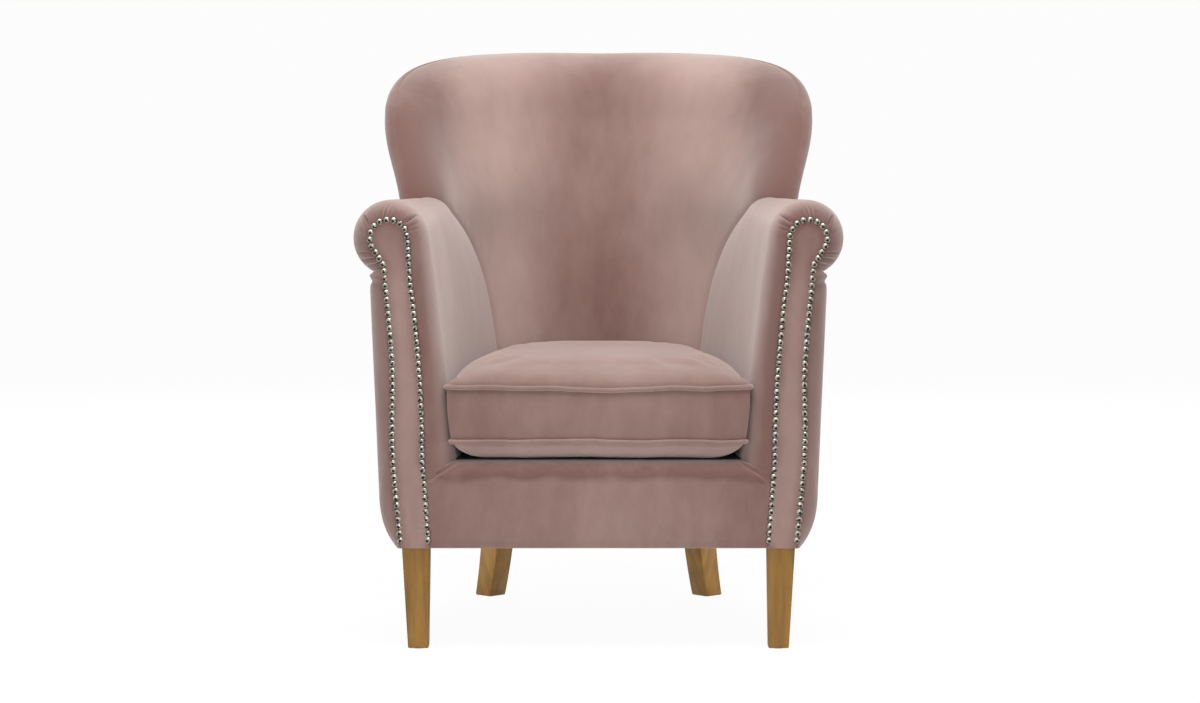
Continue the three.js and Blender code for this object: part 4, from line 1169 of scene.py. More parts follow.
    def inner(self) -> Shape:
        """Padded front of the back, drawn in along the arms.

        Returns:
            Points and faces.
        """
        angle, z = self.grid(self.form.deck, self.form.edge_roll)
        offset = self.soft_offset(angle, z)
        rough = self.form.point(angle, z, offset)
        gap = np.maximum(0, self.arm.clearance(rough))
        offset = np.maximum(offset - self.seam_sink * (1 - roundness(gap, self.seam_radius)), 0)
        full = smoothstep(offset, 0, self.form.side_pad)
        near = np.exp(-gap / self.pucker_reach)
        pucker = self.pucker * near * unevenness(rough * DRAWN_UP, self.pucker_size, 3)
        offset = offset + full * (self.ripple * unevenness(rough, self.ripple_size) + pucker)
        front = self.grooved(self.form.point(angle, z, offset), offset)
        rear = self.form.point(angle, z, np.minimum(self.form.seat_offset(angle, z), offset))
        return slab(front, self.grooved(rear, offset))

    def outer(self) -> Shape:
        """Outside cover, with a hem turned under.

        Returns:
            Points and faces.
        """
        angle, z = self.grid(self.form.hem, self.form.cover_roll)
        hem = self.form.cover_roll * (1 - np.cos(np.linspace(0, QUARTER, self.edge_rows)))
        z = np.concatenate([self.form.hem + np.broadcast_to(hem, (len(z), len(hem))), z[:, 1:]], 1)
        z.sort(axis=1)
        angle = np.broadcast_to(angle[:, :1], z.shape)
        offset = self.form.cover_offset(angle, z)
        full = smoothstep(-offset, 0, self.form.cover)
        rough = self.form.point(angle, z, offset)
        offset = offset + full * self.ripple * unevenness(rough, self.cover_ripple_size, 7)
        outside = self.grooved(self.form.point(angle, z, offset), offset)
        inside = self.form.point(angle, z, np.full_like(z, -self.form.joint))
        return slab(self.grooved(inside, offset), outside)

    def build(self) -> None:
        """Makes both covers."""
        pad = self.shop.piece("inner_back", self.inner(), "velvet", ("inner_back_pad",), tone=self.tone)
        node = ("outer_back_panel",)
        cover = self.shop.piece("outer_back", self.outer(), "velvet", node, tone=self.cover_tone)


# Arms


@dataclass(frozen=True)
class Pleat:
    """A fold that runs from the nails over the front of the roll."""

    angle: float
    depth: float = 2.6
    width: float = 1.6
    start: float = 0.1
    stop: float = 0.62


SCROLL_PLEATS = (
    Pleat(44, 4.2, 1.7, 0.12, 0.66),
    Pleat(140, 4.2, 1.7, 0.12, 0.66),
    Pleat(82, 1.6, 1.5, 0.1, 0.5),
    Pleat(91, 2.4, 1.4, 0.1, 0.55),
    Pleat(99, 1.7, 1.5, 0.1, 0.5),
    Pleat(152, 1.4, 1.4, 0.1, 0.5),
    Pleat(161, 1.1, 1.4, 0.1, 0.45),
    Pleat(22, 1.0, 1.6, 0.1, 0.45),
    Pleat(-22, 2.0, 1.7, 0.05, 0.7),
    Pleat(-36, 3.2, 1.8, 0.03, 0.8),
    Pleat(-50, 3.4, 1.8, 0.03, 0.85),
)


@dataclass
class Arm(Assembly):
    """One arm: pad with its roll, outside panel, nailed facing and nails."""

    side: Side
    form: ArmForm
    back: BackForm
    face_columns: int = 60
    roll_columns: int = 260
    foot_columns: int = 8
    nose_rows: int = 26
    length_rows: int = 70
    skin: float = 3
    foot_drop: float = 36
    seam_sink: float = 3
    seam_radius: float = 7
    ripple: float = 0.5
    facing_puff: float = 2
    facing_edge: float = 7
    facing_depth: float = 9.4
    nail_pitch: float = 10.7
    nail_radius: float = 5.15
    nail_height: float = 3.4
    nail_margin: float = 7
    nail_lift: float = 0.3
    nail_sides: int = 20
    nail_levels: int = 9
    nail_shade: Pair = (0.5, -0.8)
    pad_ripple_size: float = 70
    panel_ripple_size: float = 110
    puff_share: float = 0.35
    lips: tuple[Triple, ...] = ((0.3, 0.15, 3.0), (0.64, 0.13, -2.4))
    fold_columns: int = 44
    side_columns: int = 70
    hidden_end: float = 1.5
    end_steps: int = 160
    past_end: float = 40
    foot_lap: float = 0.2
    panel_front: Pair = (5, 60)
    panel_hem: float = 30
    lip_fade: Pair = (30, 90)
    facing_ripple: float = 0.25
    facing_ripple_size: float = 45
    facing_flat: float = 12
    dimple: float = 0.5
    dimple_reach: float = 4
    # The fields below set the pad's painted shade and painted light, then the panel's and the facing's
    # painted shade
    pad_nap: float = 0.45
    nose_turn: Pair = (0.25, 1.05)
    nose_dark: float = 0.57
    outside_across: Pair = (-10, 45)
    outside_dark: float = 0.33
    top_up: Pair = (640, 670)
    top_light: float = 0.08
    rear_along: Pair = (60, 420)
    rear_dark: float = 0.2
    low_up: Pair = (330, 450)
    low_along: Pair = (40, 160)
    low_dark: float = 0.1
    panel_nap: float = 0.33
    panel_dark: float = 0.21
    facing_nap: float = 0.5
    nail_line: Pair = (3, 16)
    nail_line_dark: float = 0.22
    scroll_up: Pair = (540, 640)
    scroll_dark: float = 0.26
    # reach of the painted dark reflection on each nail's crown
    crown: Pair = (1.5, 2.7)
    speck: float = 3.1

    def sided(self, points: Grid) -> Grid:
        """Points on this arm's side of the chair."""
        return points * np.array([self.side.value, 1, 1])

    def ends(self, u: Grid, extra: float) -> Grid:
        """Depth at which each line along the arm runs into the padded back.

        Args:
            u: Places along the section.
            extra: How far it runs on inside.

        Returns:
            One depth for each place.
        """
        depths = np.linspace(self.form.nose, self.form.length + self.past_end, self.end_steps)[:, None]
        line = self.form.section(depths, u[None, :])
        free = self.back.clearance(joined(line[..., 0], depths, line[..., 1])) > -extra
        count = np.argmin(np.vstack([free, np.zeros_like(free[:1])]), axis=0)
        return depths[np.minimum(count, len(depths) - 1), 0]

    def swept(
        self, start: Grid, section: Callable[[Grid, Grid], Grid], places: Grid, nose: float, stop: Grid
    ) -> Grid:
        """Grid that runs from the nail line over a rounded nose and back along a section.

        Args:
            start: Points of the nail line, with x and z as the last axis.
            section: Gives the section's points at depths and places.
            places: Places along the section.
            nose: Radius of the nose.
            stop: Depth at which each place's line ends.

        Returns:
            Points, as rows by places by 3.
        """
        turn = np.linspace(0, QUARTER, self.nose_rows)[:, None]
        full = section(np.full_like(places, nose), places)
        front = lerp(start[None], full[None], np.sin(turn)[..., None])
        front_y = np.broadcast_to(nose * (1 - np.cos(turn)), front.shape[:2])
        y = lerp(nose, stop[None, :], np.linspace(0, 1, self.length_rows)[1:, None])
        xz = np.concatenate([front, section(y, places[None, :])])
        return joined(xz[..., 0], np.concatenate([front_y, y]), xz[..., 1])

    def pad(self) -> Shape:
        """Inner face and roll, with the pleats of the scroll.

        Returns:
            Points and faces.
        """
        form = self.form
        face = np.linspace(0, 1, self.face_columns, endpoint=False)
        u = np.concatenate([face, 1 + np.linspace(0, 1, self.roll_columns)])
        grid = self.swept(form.facing(u), form.section, u, form.nose, self.ends(u, self.hidden_end))
        normal = grid_normals(grid)
        normal *= -np.sign(normal[-1, len(face) // 2, 0])
        sink = self.pleats(u, grid)
        free = np.maximum(0, self.back.clearance(grid))
        sink += self.seam_sink * (1 - roundness(free, self.seam_radius))
        edge = np.linspace(0, 1, len(grid))[:, None]
        sink -= self.ripple * unevenness(grid, self.pad_ripple_size, 3) * smoothstep(edge, 0.05, 0.2)
        grid = grid - normal * sink[..., None]
        return slab(*(self.footed(g) for g in (grid, grid - normal * self.skin)))

    def pleats(self, u: Grid, grid: Grid) -> Grid:
        """How deep the pleats sink each point of the pad.

        Args:
            u: Places along the section.
            grid: Points of the pad.

        Returns:
            Depths, as rows by columns.
        """
        sink = np.zeros(grid.shape[:2])
        rows, share = self.nose_rows, np.linspace(0, 1, self.nose_rows)
        angles = np.degrees(lerp(self.form.join[0], self.form.end, np.clip(u - 1, 0, 1)))
        reach = np.linalg.norm(grid[:rows][..., [0, 2]] - np.array(self.form.bulb), axis=-1)
        for pleat in SCROLL_PLEATS:
            across = np.radians(angles - pleat.angle) * reach
            middle = (pleat.start + pleat.stop) / 2
            half = (pleat.stop - pleat.start) / 2
            fade = np.clip(1 - ((share - middle) / half) ** 2, 0, 1) ** 0.7
            puff = self.puff_share * bell(np.abs(across) - 3.2 * pleat.width, 2 * pleat.width)
            sink[:rows] += pleat.depth * (bell(across, pleat.width) - puff) * fade[:, None]
        return sink

    def footed(self, grid: Grid) -> Grid:
        """Pad with its foot carried down over the end of the front border.

        Args:
            grid: Points of the pad.

        Returns:
            The points, with the rows of the foot before them.
        """
        form = self.form
        foot = grid[:, :1]
        drop = self.foot_drop * (1 - smoothstep(foot[..., 1], 0, form.nose)) + self.foot_lap
        lean = (form.seam[0] - form.inner_foot[0]) / (form.seam[1] - form.hem)
        share = np.linspace(1, 0, self.foot_columns, endpoint=False)[None, :]
        down = share * drop
        return np.concatenate([foot + joined(-lean * down, 0, -down), grid], axis=1)

    def panel(self) -> Shape:
        """Outside panel, from under the roll to the hem.

        Returns:
            Points and faces.
        """
        form = self.form
        fold = np.linspace(0, form.fold_place, self.fold_columns, endpoint=False)
        q = np.concatenate([fold, np.linspace(form.fold_place, form.hem_place, self.side_columns)])
        stop = np.full_like(q, form.wing_depth - self.back.joint)
        grid = self.swept(form.outer_facing(q), form.outer_section, q, form.outer_nose, stop)
        normal = grid_normals(grid)
        normal *= np.sign(normal[-1, len(q) // 2, 0])
        behind = roundness(form.wing_depth - grid[..., 1], self.seam_radius)
        sink = 0.6 * self.seam_sink * (1 - behind)
        over_hem = smoothstep(grid[..., 2], form.hem, form.hem + self.panel_hem)
        edge = smoothstep(grid[..., 1], *self.panel_front) * over_hem
        sink = sink - 2 * self.ripple * edge * unevenness(grid, self.panel_ripple_size, 5)
        lip = sum(height * bell(q - place, width) for place, width, height in self.lips)
        sink = sink - lip[None, :] * (1 - smoothstep(grid[..., 1], *self.lip_fade))
        shown = grid - normal * sink[..., None]
        return slab(shown, shown - normal * self.skin)

    def outline(self) -> Grid:
        """Nail line, from the inner hem over the scroll to the outer hem.

        Returns:
            Points, with x and z as columns.
        """
        u = np.concatenate([np.linspace(0, 1, 60, endpoint=False), np.linspace(1, 2, 90)])
        inner = self.form.facing(u)
        outer = self.form.outer_facing(np.linspace(0, self.form.hem_place, 80))
        return np.vstack([[self.form.inner_foot], inner, outer])

    def facing(self) -> Shape:
        """Nailed front panel, pulled in at each nail.

        Returns:
            Points and faces.
        """
        ring = self.outline()
        end = 1 - 0.1 * np.cos(np.linspace(0, QUARTER, 40)) ** 2
        rise = np.concatenate([np.linspace(0, 0.9, 150, endpoint=False), end])
        low, high = ring[0, 1] + 0.3, ring[:, 1].max() - 0.05
        z = lerp(low, high, rise)
        left, right = self.spans(ring, z)
        across = (1 - np.cos(np.linspace(0, math.pi, 34))) / 2
        x = lerp(left[:, None], right[:, None], across[None, :])
        points = joined(x, 0, z[:, None])
        gap = self.ring_distances(points, ring).min(-1)
        wave = 1 + np.cos(self.edge_phase(points, ring) * 2 * math.pi)
        dimple = self.dimple / 2 * wave * np.exp(-gap / self.dimple_reach)
        y = -self.facing_puff * roundness(gap, self.facing_edge) * (1 - dimple)
        ripple = self.facing_ripple * unevenness(points, self.facing_ripple_size, 9)
        points[..., 1] = y + ripple * smoothstep(gap, 0, self.facing_flat)
        rear = points.copy()
        rear[..., 1] = self.facing_depth
        return slab(points, rear)

    @staticmethod
    def spans(ring: Grid, z: Grid) -> tuple[Grid, Grid]:
        """Least and greatest x of a closed outline at heights.

        Args:
            ring: The outline.
            z: Heights.

        Returns:
            The least x and the greatest x at each height.
        """
        a, b = ring, np.roll(ring, -1, axis=0)
        low, high = np.minimum(a[:, 1], b[:, 1]), np.maximum(a[:, 1], b[:, 1])
        rise = (z[:, None] - a[None, :, 1]) / np.where(b[:, 1] == a[:, 1], 1, b[:, 1] - a[:, 1])
        x = a[:, 0] + (b[:, 0] - a[:, 0]) * rise
        hit = (z[:, None] >= low) & (z[:, None] <= high) & (high > low)
        return np.where(hit, x, np.inf).min(1), np.where(hit, x, -np.inf).max(1)

    @staticmethod
    def ring_distances(points: Grid, ring: Grid) -> Grid:
        """Distances of points from each point of the nail line, along a last axis."""
        return np.linalg.norm(points[..., None, [0, 2]] - ring, axis=-1)

    def edge_phase(self, points: Grid, ring: Grid) -> Grid:
        """Nail spacings along the nail line at the nearest place to each point.

        Args:
            points: Points of the facing.
            ring: The nail line.

        Returns:
            One count a point, whole at a nail.
        """
        nearest = self.ring_distances(points, ring).argmin(-1)
        return (run_lengths(ring)[nearest] - self.nail_margin) / self.nail_pitch - 0.5

    def nail_centres(self) -> Grid:
        """Places of the nails, in even steps along the nail line.

        Returns:
            One place a nail, with x and z as columns.
        """
        ring = self.outline()
        run = np.linalg.norm(np.diff(ring, axis=0), axis=1).sum()
        count = round((run - 2 * self.nail_margin) / self.nail_pitch)
        places = (self.nail_margin + (np.arange(count) + 0.5) * (run - 2 * self.nail_margin) / count) / run
        return along_path(ring, places)

    def nails(self) -> Shape:
        """Dome-headed nails, each a closed head of its own.

        Returns:
            Points and faces.
        """
        sides, levels = self.nail_sides, self.nail_levels
        turn = np.linspace(0, 4 * QUARTER, sides, endpoint=False)
        lift = np.linspace(0, 0.93, levels) * QUARTER
        points, faces = [], []
        for x, z in self.nail_centres():
            start = len(points)
            lean = 0.12 * np.array([noise.noise(Vector((x, z, k)) * 0.9) for k in (1, 5)])
            for angle in lift:
                radius, rise = self.nail_radius * math.cos(angle), self.nail_height * math.sin(angle)
                for t in turn:
                    dx, dz = radius * math.cos(t), radius * math.sin(t)
                    tilt = (dx * lean[0] + dz * lean[1]) * math.sin(angle)
                    points.append((x + dx, -self.nail_lift - rise + tilt, z + dz))
            points += [(x, -self.nail_lift - self.nail_height, z), (x, 1.0, z)]
            faces += grid_faces(levels, sides, start, closed=True)
            top, low = start + levels * sides, start + levels * sides + 1
            for j in range(sides):
                k = (j + 1) % sides
                faces.append((start + (levels - 1) * sides + j, start + (levels - 1) * sides + k, top))
                faces.append((start + k, start + j, low))
        return np.array(points), faces

    def pad_tone(self, p: Grid) -> Grid:
        """Tone of the pad: painted shade in the hollow by the nails, towards the rear, low down beside the
        cushion and on the roll's outer side, painted light on the roll's top, and lighter along the inner
        face between them.

        Args:
            p: Points, one a row.

        Returns:
            One tone a point.
        """
        x, y, z = np.abs(p[:, 0]), p[:, 1], p[:, 2]
        # painted shade in the hollow by the nails, towards the rear, low down where the cushion shades it and
        # on the roll's outer side; painted light on the roll's top
        over = 1 - np.clip(y / self.form.nose, 0, 1)
        front = 1 - smoothstep(np.sqrt(1 - over * over), *self.nose_turn)
        outside = smoothstep(x - self.form.roll_x[0], *self.outside_across)
        top = smoothstep(z, *self.top_up)
        rear = smoothstep(y, *self.rear_along) * (1 - top)
        low = (1 - smoothstep(z, *self.low_up)) * (1 - smoothstep(y, *self.low_along))
        shade = self.rear_dark * rear + self.low_dark * low + self.nose_dark * front * (1 - low / 2)
        return self.pad_nap + self.top_light * top - shade - self.outside_dark * outside * (1 - front)

    def panel_tone(self, p: Grid) -> Grid:
        """Tone of the outside panel: painted shade towards the nails."""
        # painted shade on the panel near its nailed front
        return self.panel_nap - self.panel_dark * (1 - smoothstep(p[:, 1], 2, 4 * self.form.outer_nose))

    def facing_tone(self, p: Grid) -> Grid:
        """Tone of the facing: painted shade in the scroll and beside the nails.

        Args:
            p: Points, one a row.

        Returns:
            One tone a point.
        """
        gap = self.ring_distances(np.abs(p), self.outline()).min(-1)
        # painted shade in the hollows beside the nails and over the scroll
        beside = 1 - smoothstep(gap, *self.nail_line)
        scroll = smoothstep(p[:, 2], *self.scroll_up)
        return self.facing_nap - self.nail_line_dark * beside - self.scroll_dark * scroll

    def nail_tone(self, p: Grid) -> Grid:
        """Dullness of the nails: painted shade round their rims, a painted dark reflection on each crown, and
        speckled patina.

        Args:
            p: Points, one a row.

        Returns:
            One dullness a point.
        """
        rise = (-p[:, 1] - self.nail_lift) / self.nail_height
        # rim: painted shade at each head's foot; crown: a painted dark reflection; specks: patina
        rim = 1 - smoothstep(rise, 0.1, 0.5)
        painted_reflection_spots = self.nail_centres() + np.array(self.nail_shade)
        away = np.column_stack([np.abs(p[:, 0]), p[:, 2]])[:, None] - painted_reflection_spots
        crown = 1 - smoothstep(np.linalg.norm(away, axis=-1).min(1), *self.crown)
        specks = smoothstep(unevenness(p, self.speck, 2), 0.05, 0.3)
        return 0.95 * rim + 0.9 * crown + 0.5 * specks

    def build(self) -> None:
        """Makes the arm's pieces."""
        name = self.side.prefix
        shapes = {
            "arm_pad_cover": (self.pad(), "arm_pad", 0.8, self.pad_tone),
            "outer_arm_cover": (self.panel(), "outer_arm_panel", 0.5, self.panel_tone),
            "arm_front": (self.facing(), "arm_facing", 0.6, self.facing_tone),
        }
        for piece, ((points, faces), node, fill, tone) in shapes.items():
            shape = (self.sided(points), faces)
            made = self.shop.piece(name + piece, shape, "velvet", (name + node,), tone=tone)
        points, faces = self.nails()
        shape = (self.sided(points), faces)
        node = (name + "arm_nails",)
        self.shop.piece(name + "nail_heads", shape, "nail_metal", node, tone=self.nail_tone)


# Front border, platform and underside


CORNER_FOLDS = (
    ((214, 282), (256, 257), 2.6, 2.2),
    ((226, 285), (260, 268), 1.5, 1.6),
    ((232, 262), (252, 246), 1.0, 2.4),
)


@dataclass
class Seat(Assembly):
    """Front border, lined platform and dust cover."""

    arm: ArmForm
    back: BackForm
    top: float = 284.2
    hem: float = 154
    face: float = 17.7
    roll: float = 22
    depth: float = 41.7
    hem_in: float = 4
    hem_curve: float = 28
    columns: int = 361
    corner: Pair = (214, 262)
    corner_drop: float = 13
    cloth_top: float = 286
    cloth_thickness: float = 1.6
    dust_bottom: float = 155.3
    dust_thickness: float = 1.4
    dust_sag: float = 1.1
    lining_front: float = 42
    lining_cut: Pair = (0.56, 0.59)
    lining_area: float = 0.296
    dust_half: Pair = (295.5, 278.5)
    dust_front: float = 18
    dust_cut: Pair = (0.592, 0.614)
    dust_area: float = 0.317
    lump: float = 2.3
    lump_sizes: Pair = (26, 11)
    fullness: float = 0.8
    fullness_size: float = 85
    hem_fold: Triple = (5.5, 0.9, 0.7)
    inner_drop: float = 14
    top_edge: Pair = (30, 8)
    rear_edge: float = 12
    over_hem: float = 30
    # The fields below set the border's painted shade at its ends and the painted shadow of the cushion along
    # its top
    nap: float = 0.37
    nap_waver: float = 8
    nap_waver_size: float = 45
    ends_across: Pair = (165, 250)
    ends_dark: float = 0.2
    under_cushion: Pair = (250, 278)
    under_cushion_dark: float = 0.75

    def border(self) -> Shape:
        """Front border, with a soft rolled top and corners drawn down to the nails.

        Returns:
            Points and faces.
        """
        turn = np.linspace(0, QUARTER, 18)
        rolled = joined(self.roll * (1 - np.cos(turn)), self.top - self.roll * (1 - np.sin(turn)))
        corner = [(self.hem_in, self.hem), (0.0, self.hem), (0.0, self.hem + self.hem_curve)]
        low = bezier([np.array(point) for point in corner], np.linspace(0, 1, 12))
        middle = lerp(low[-1], rolled[0], np.linspace(0, 1, 40)[1:-1, None])
        section = np.vstack([[self.face, self.hem], low, middle, rolled, [self.depth, self.top]])
        rise = np.clip((section[:, 1] - self.hem) / (self.arm.base - self.hem), 0, 1)
        reach = lerp(self.arm.inner_foot[0], self.arm.seam[0], rise) - 0.3
        x = np.linspace(-1, 1, self.columns)[:, None] * reach[None, :]
        y, z = (np.broadcast_to(section[:, k], x.shape) for k in (0, 1))
        z = z - self.corner_drop * smoothstep(np.abs(x), *self.corner) * rise**2
        grid = joined(x, y, z)
        near_top = smoothstep(z, *(self.top - edge for edge in self.top_edge))
        near_top = near_top * smoothstep(self.depth - y, 0, self.rear_edge)
        long, short = self.lump_sizes
        lumps = unevenness(grid * np.array([1, 0.4, 0.6]), long, 11) + 0.5 * unevenness(grid, short, 2)
        full = self.fullness * unevenness(grid, self.fullness_size, 4)
        full = full * smoothstep(z, self.hem, self.hem + self.over_hem)
        grid[..., 1] += self.lump * near_top * lumps + full * (1 - near_top)
        grid[..., 1] += self.corner_folds(np.abs(x), z)
        up, width, height = self.hem_fold
        grid[..., 1] += np.where(y < self.hem_in, height * bell(z - self.hem - up, width), 0)
        back = grid.copy()
        inner = np.clip(y + 9, 0, self.face)
        back[..., 1] = np.where(y < self.face, np.maximum(inner, np.minimum(y + 3, self.face)), y)
        back[..., 2] = np.maximum(np.minimum(z, self.top - self.inner_drop), self.hem)
        return slab(grid, back)

    def corner_folds(self, x: Grid, z: Grid) -> Grid:
        """How far the folds that run down from the corners to the nails sink the border.

        Args:
            x: Distances from the middle.
            z: Heights.

        Returns:
            One depth for each place.
        """
        sink = np.zeros_like(x)
        for (x0, z0), (x1, z1), depth, width in CORNER_FOLDS:
            run = np.array([x1 - x0, z1 - z0])
            length = np.linalg.norm(run)
            along = ((x - x0) * run[0] + (z - z0) * run[1]) / length
            across = ((x - x0) * run[1] - (z - z0) * run[0]) / length
            fade = smoothstep(along, -4, 5) * (1 - smoothstep(along, length - 6, length + 4))
            ridge = 0.6 * bell(across + 2.4 * width, 1.4 * width)
            sink += depth * fade * (bell(across, width) - ridge)
        return sink

    def deck(self) -> Shape:
        """Lining cloth over the platform, a little slack between its edges.

        Returns:
            Points and faces.
        """
        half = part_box("platform_cloth")[1].x / MM
        across = np.linspace(-1, 1, 61)[:, None]
        along = np.linspace(0, 1, 61)[None, :]
        rear = self.plan_depth(across * half, self.top, 22)
        y = lerp(self.lining_front, rear, along)
        points = joined(across * half, y, self.cloth_top)
        slack = (1 - across**4) * np.sin(along * math.pi) ** 0.6
        points[..., 2] -= 0.25 + 0.7 * slack * (0.5 + 0.5 * unevenness(points, 60, 8))
        under = points.copy()
        under[..., 2] = self.cloth_top - self.cloth_thickness
        return slab(points, under)

    def plan_depth(self, x: Grid, z: float, inset: float) -> Grid:
        """Depth of the barrel's middle surface at a height, less an inset, at distances from its middle."""
        a, b = self.back.half_width(z) - inset, self.back.span(z) - inset
        return self.back.wing_front(z) + b * np.sqrt(np.clip(1 - (x / a) ** 2, 0, 1))

    def dust(self) -> Shape:
        """Dust cover under the frame, stretched between its edges.

        Returns:
            Points and faces.
        """
        across = np.linspace(-1, 1, 71)[:, None]
        wide, narrow = self.dust_half
        along = np.linspace(0, 1, 71)[None, :]
        rear = self.plan_depth(across * narrow, self.hem, 8)
        y = lerp(self.dust_front, np.maximum(rear, self.arm.wing_depth), along)
        run = self.arm.wing_depth - self.dust_front
        half = lerp(wide, narrow, np.clip((y - self.dust_front) / run, 0, 1))
        points = joined(across * half, y, self.dust_bottom)
        sag = self.dust_sag * (1 - across**2) * np.sin(along * math.pi)
        points[..., 2] -= 0.1 * sag * unevenness(points, 80, 2)
        over = points.copy()
        over[..., 2] += self.dust_thickness
        return slab(points, over)

    def tone(self, p: Grid) -> Grid:
        """Tone of the border: painted shadow under the cushion and painted shade at its ends beside the
        nails.

        Args:
            p: Points, one a row.

        Returns:
            One tone a point.
        """
        # painted shadow of the cushion along the border's top, with a wavering lower edge, and painted shade
        # at the ends
        z = p[:, 2] + self.nap_waver * unevenness(p, self.nap_waver_size, 3)
        ends = self.ends_dark * smoothstep(np.abs(p[:, 0]), *self.ends_across)
        return self.nap - ends - self.under_cushion_dark * smoothstep(z, *self.under_cushion)

    def build(self) -> None:
        """Makes the border, the platform's lining and the dust cover."""
        piece, node = self.shop.piece, ("front_border",)
        border = piece("front_border_cover", self.border(), "velvet", node, tone=self.tone)
        deck = piece("deck_lining", self.deck(), "black_lining", ("platform_cloth",))
        dust = piece("dust_cover_cloth", self.dust(), "black_lining", ("dust_cover",))


# Legs


def turned(plan: Grid, angle: float) -> Grid:
    """Points of a plan turned about its origin."""
    c, s = math.cos(angle), math.sin(angle)
    return plan @ np.array([[c, s], [-s, c]])


@dataclass
class Leg(Assembly):
    """A square leg with eased edges, straight or swept back."""

    node: str
    x: float
    y: float
    top: float
    foot: float
    turn: float = 0
    out: float = 0
    back: float = 0
    power: float = 1
    edge: float = 2.2
    hem: float = 154
    height: float = 153.7
    lift: float = 0.9
    levels: int = 36
    corner_steps: int = 5
    crease: float = 50

    def ring(self, z: float, inset: float) -> Grid:
        """Outline of the leg at a height, less an inset all round.

        Args:
            z: Height.
            inset: Distance inside the faces.

        Returns:
            Points, one a row.
        """
        fall = (1 - z / self.hem) ** self.power
        half = lerp(self.foot, self.top, z / self.hem) / 2 - inset
        turn = np.linspace(0, QUARTER, self.corner_steps)
        flat = half - self.edge
        corner = polar(flat, flat, self.edge, turn)
        plan = turned(np.vstack([turned(corner, k * QUARTER) for k in range(4)]), self.turn)
        x, y = self.x + self.out * fall, self.y + self.back * fall
        return joined(plan[:, 0] + x, plan[:, 1] + y, z)

    def shape(self) -> Shape:
        """Closed leg, with its foot eased.

        Returns:
            Points and faces.
        """
        heights = np.linspace(self.lift + self.edge, self.height, self.levels)
        eased = 1 - polar(0, 0, 1, np.linspace(QUARTER, 0, 5)[:-1])
        rings = [self.ring(self.lift + self.edge * rise, self.edge * inset) for inset, rise in eased]
        rings += [self.ring(z, 0) for z in heights]
        count = len(rings[0])
        faces = grid_faces(len(rings), count, closed=True)
        faces += [tuple(range(count))[::-1], tuple((len(rings) - 1) * count + j for j in range(count))]
        return np.vstack(rings), faces

    def build(self) -> None:
        """Makes the leg on both sides."""
        points, faces = self.shape()
        for side in Side:
            name = side.prefix + self.node
            mirror = points * np.array([side.value, 1, 1])
            self.shop.piece(name + "_wood", (mirror, faces), "leg_wood", (name,), crease=self.crease)


# Cushion


@dataclass
class Stuffing(Assembly):
    """Swells a closed cover, with its seams held."""

    voxel: float = 6
    pressure: float = 4
    frames: int = 18
    cap: float = 3.5
    stretch: float = 12
    bending: float = 1.2
    neighbours: int = 8

    def swell(self, shape: Shape, hold: Tone) -> Grid:
        """Swells a shape with cloth under pressure.

        Args:
            shape: Points in millimetres and faces.
            hold: Gives 1 at points that stay where they are, and 0 at free ones.

        Returns:
            The shape's points after the swelling, in the frame's metres.
        """
        points = self.shop.to_frame(shape[0])
        mesh = bpy.data.meshes.new("swelling")
        mesh.from_pydata(points, [], shape[1])
        dummy = bpy.data.objects.new("swelling", mesh)
        bpy.context.scene.collection.objects.link(dummy)
        remesh = dummy.modifiers.new("evened", "REMESH")
        remesh.mode = "VOXEL"
        remesh.voxel_size = self.voxel * MM
        dummy.data = self.evaluated(dummy)
        dummy.modifiers.clear()
        start = mesh_points(dummy.data)
        held = dummy.vertex_groups.new(name="held")
        for index, weight in enumerate(hold(self.shop.from_frame(start))):
            held.add([index], float(weight), "REPLACE")
        self.add_cloth(dummy)
        for number in range(1, self.frames + 1):
            bpy.context.scene.frame_set(number)
        move = mesh_points(self.evaluated(dummy)) - start
        far = np.linalg.norm(move, axis=1, keepdims=True)
        move *= np.minimum(1, self.cap * MM / np.maximum(far, TINY))
        bpy.context.scene.frame_set(1)
        bpy.data.objects.remove(dummy)
        return points + self.carried(points, start, move)

    def carried(self, points: Grid, start: Grid, move: Grid) -> Grid:
        """Moves of the swollen cloth, carried over to other points.

        Args:
            points: Points to move.
            start: Where the cloth's points began.
            move: How far each of them went.

        Returns:
            One move a point, the mean of the nearest ones by closeness.
        """
        tree = KDTree(len(start))
        for index, place in enumerate(start):
            tree.insert(place, index)
        tree.balance()
        made = np.empty_like(points)
        for row, place in enumerate(points):
            near = tree.find_n(place, self.neighbours)
            share = np.array([1 / (gap + MM) for _, _, gap in near])
            made[row] = share @ move[[index for _, index, _ in near]] / share.sum()
        return made

    def add_cloth(self, dummy: bpy.types.Object) -> None:
        """Gives an object cloth under pressure and without weight.

        Args:
            dummy: The object.
        """
        cloth = dummy.modifiers.new("cloth", "CLOTH")
        cloth.point_cache.frame_end = self.frames
        settings = cloth.settings
        settings.use_pressure = True
        settings.uniform_pressure_force = self.pressure
        settings.effector_weights.gravity = 0
        settings.vertex_group_mass = "held"
        settings.tension_stiffness = self.stretch
        settings.compression_stiffness = self.stretch
        settings.bending_stiffness = self.bending

    @staticmethod
    def evaluated(dummy: bpy.types.Object) -> bpy.types.Mesh:
        """Mesh of an object with its modifiers."""
        graph = bpy.context.evaluated_depsgraph_get()
        return bpy.data.meshes.new_from_object(dummy.evaluated_get(graph))


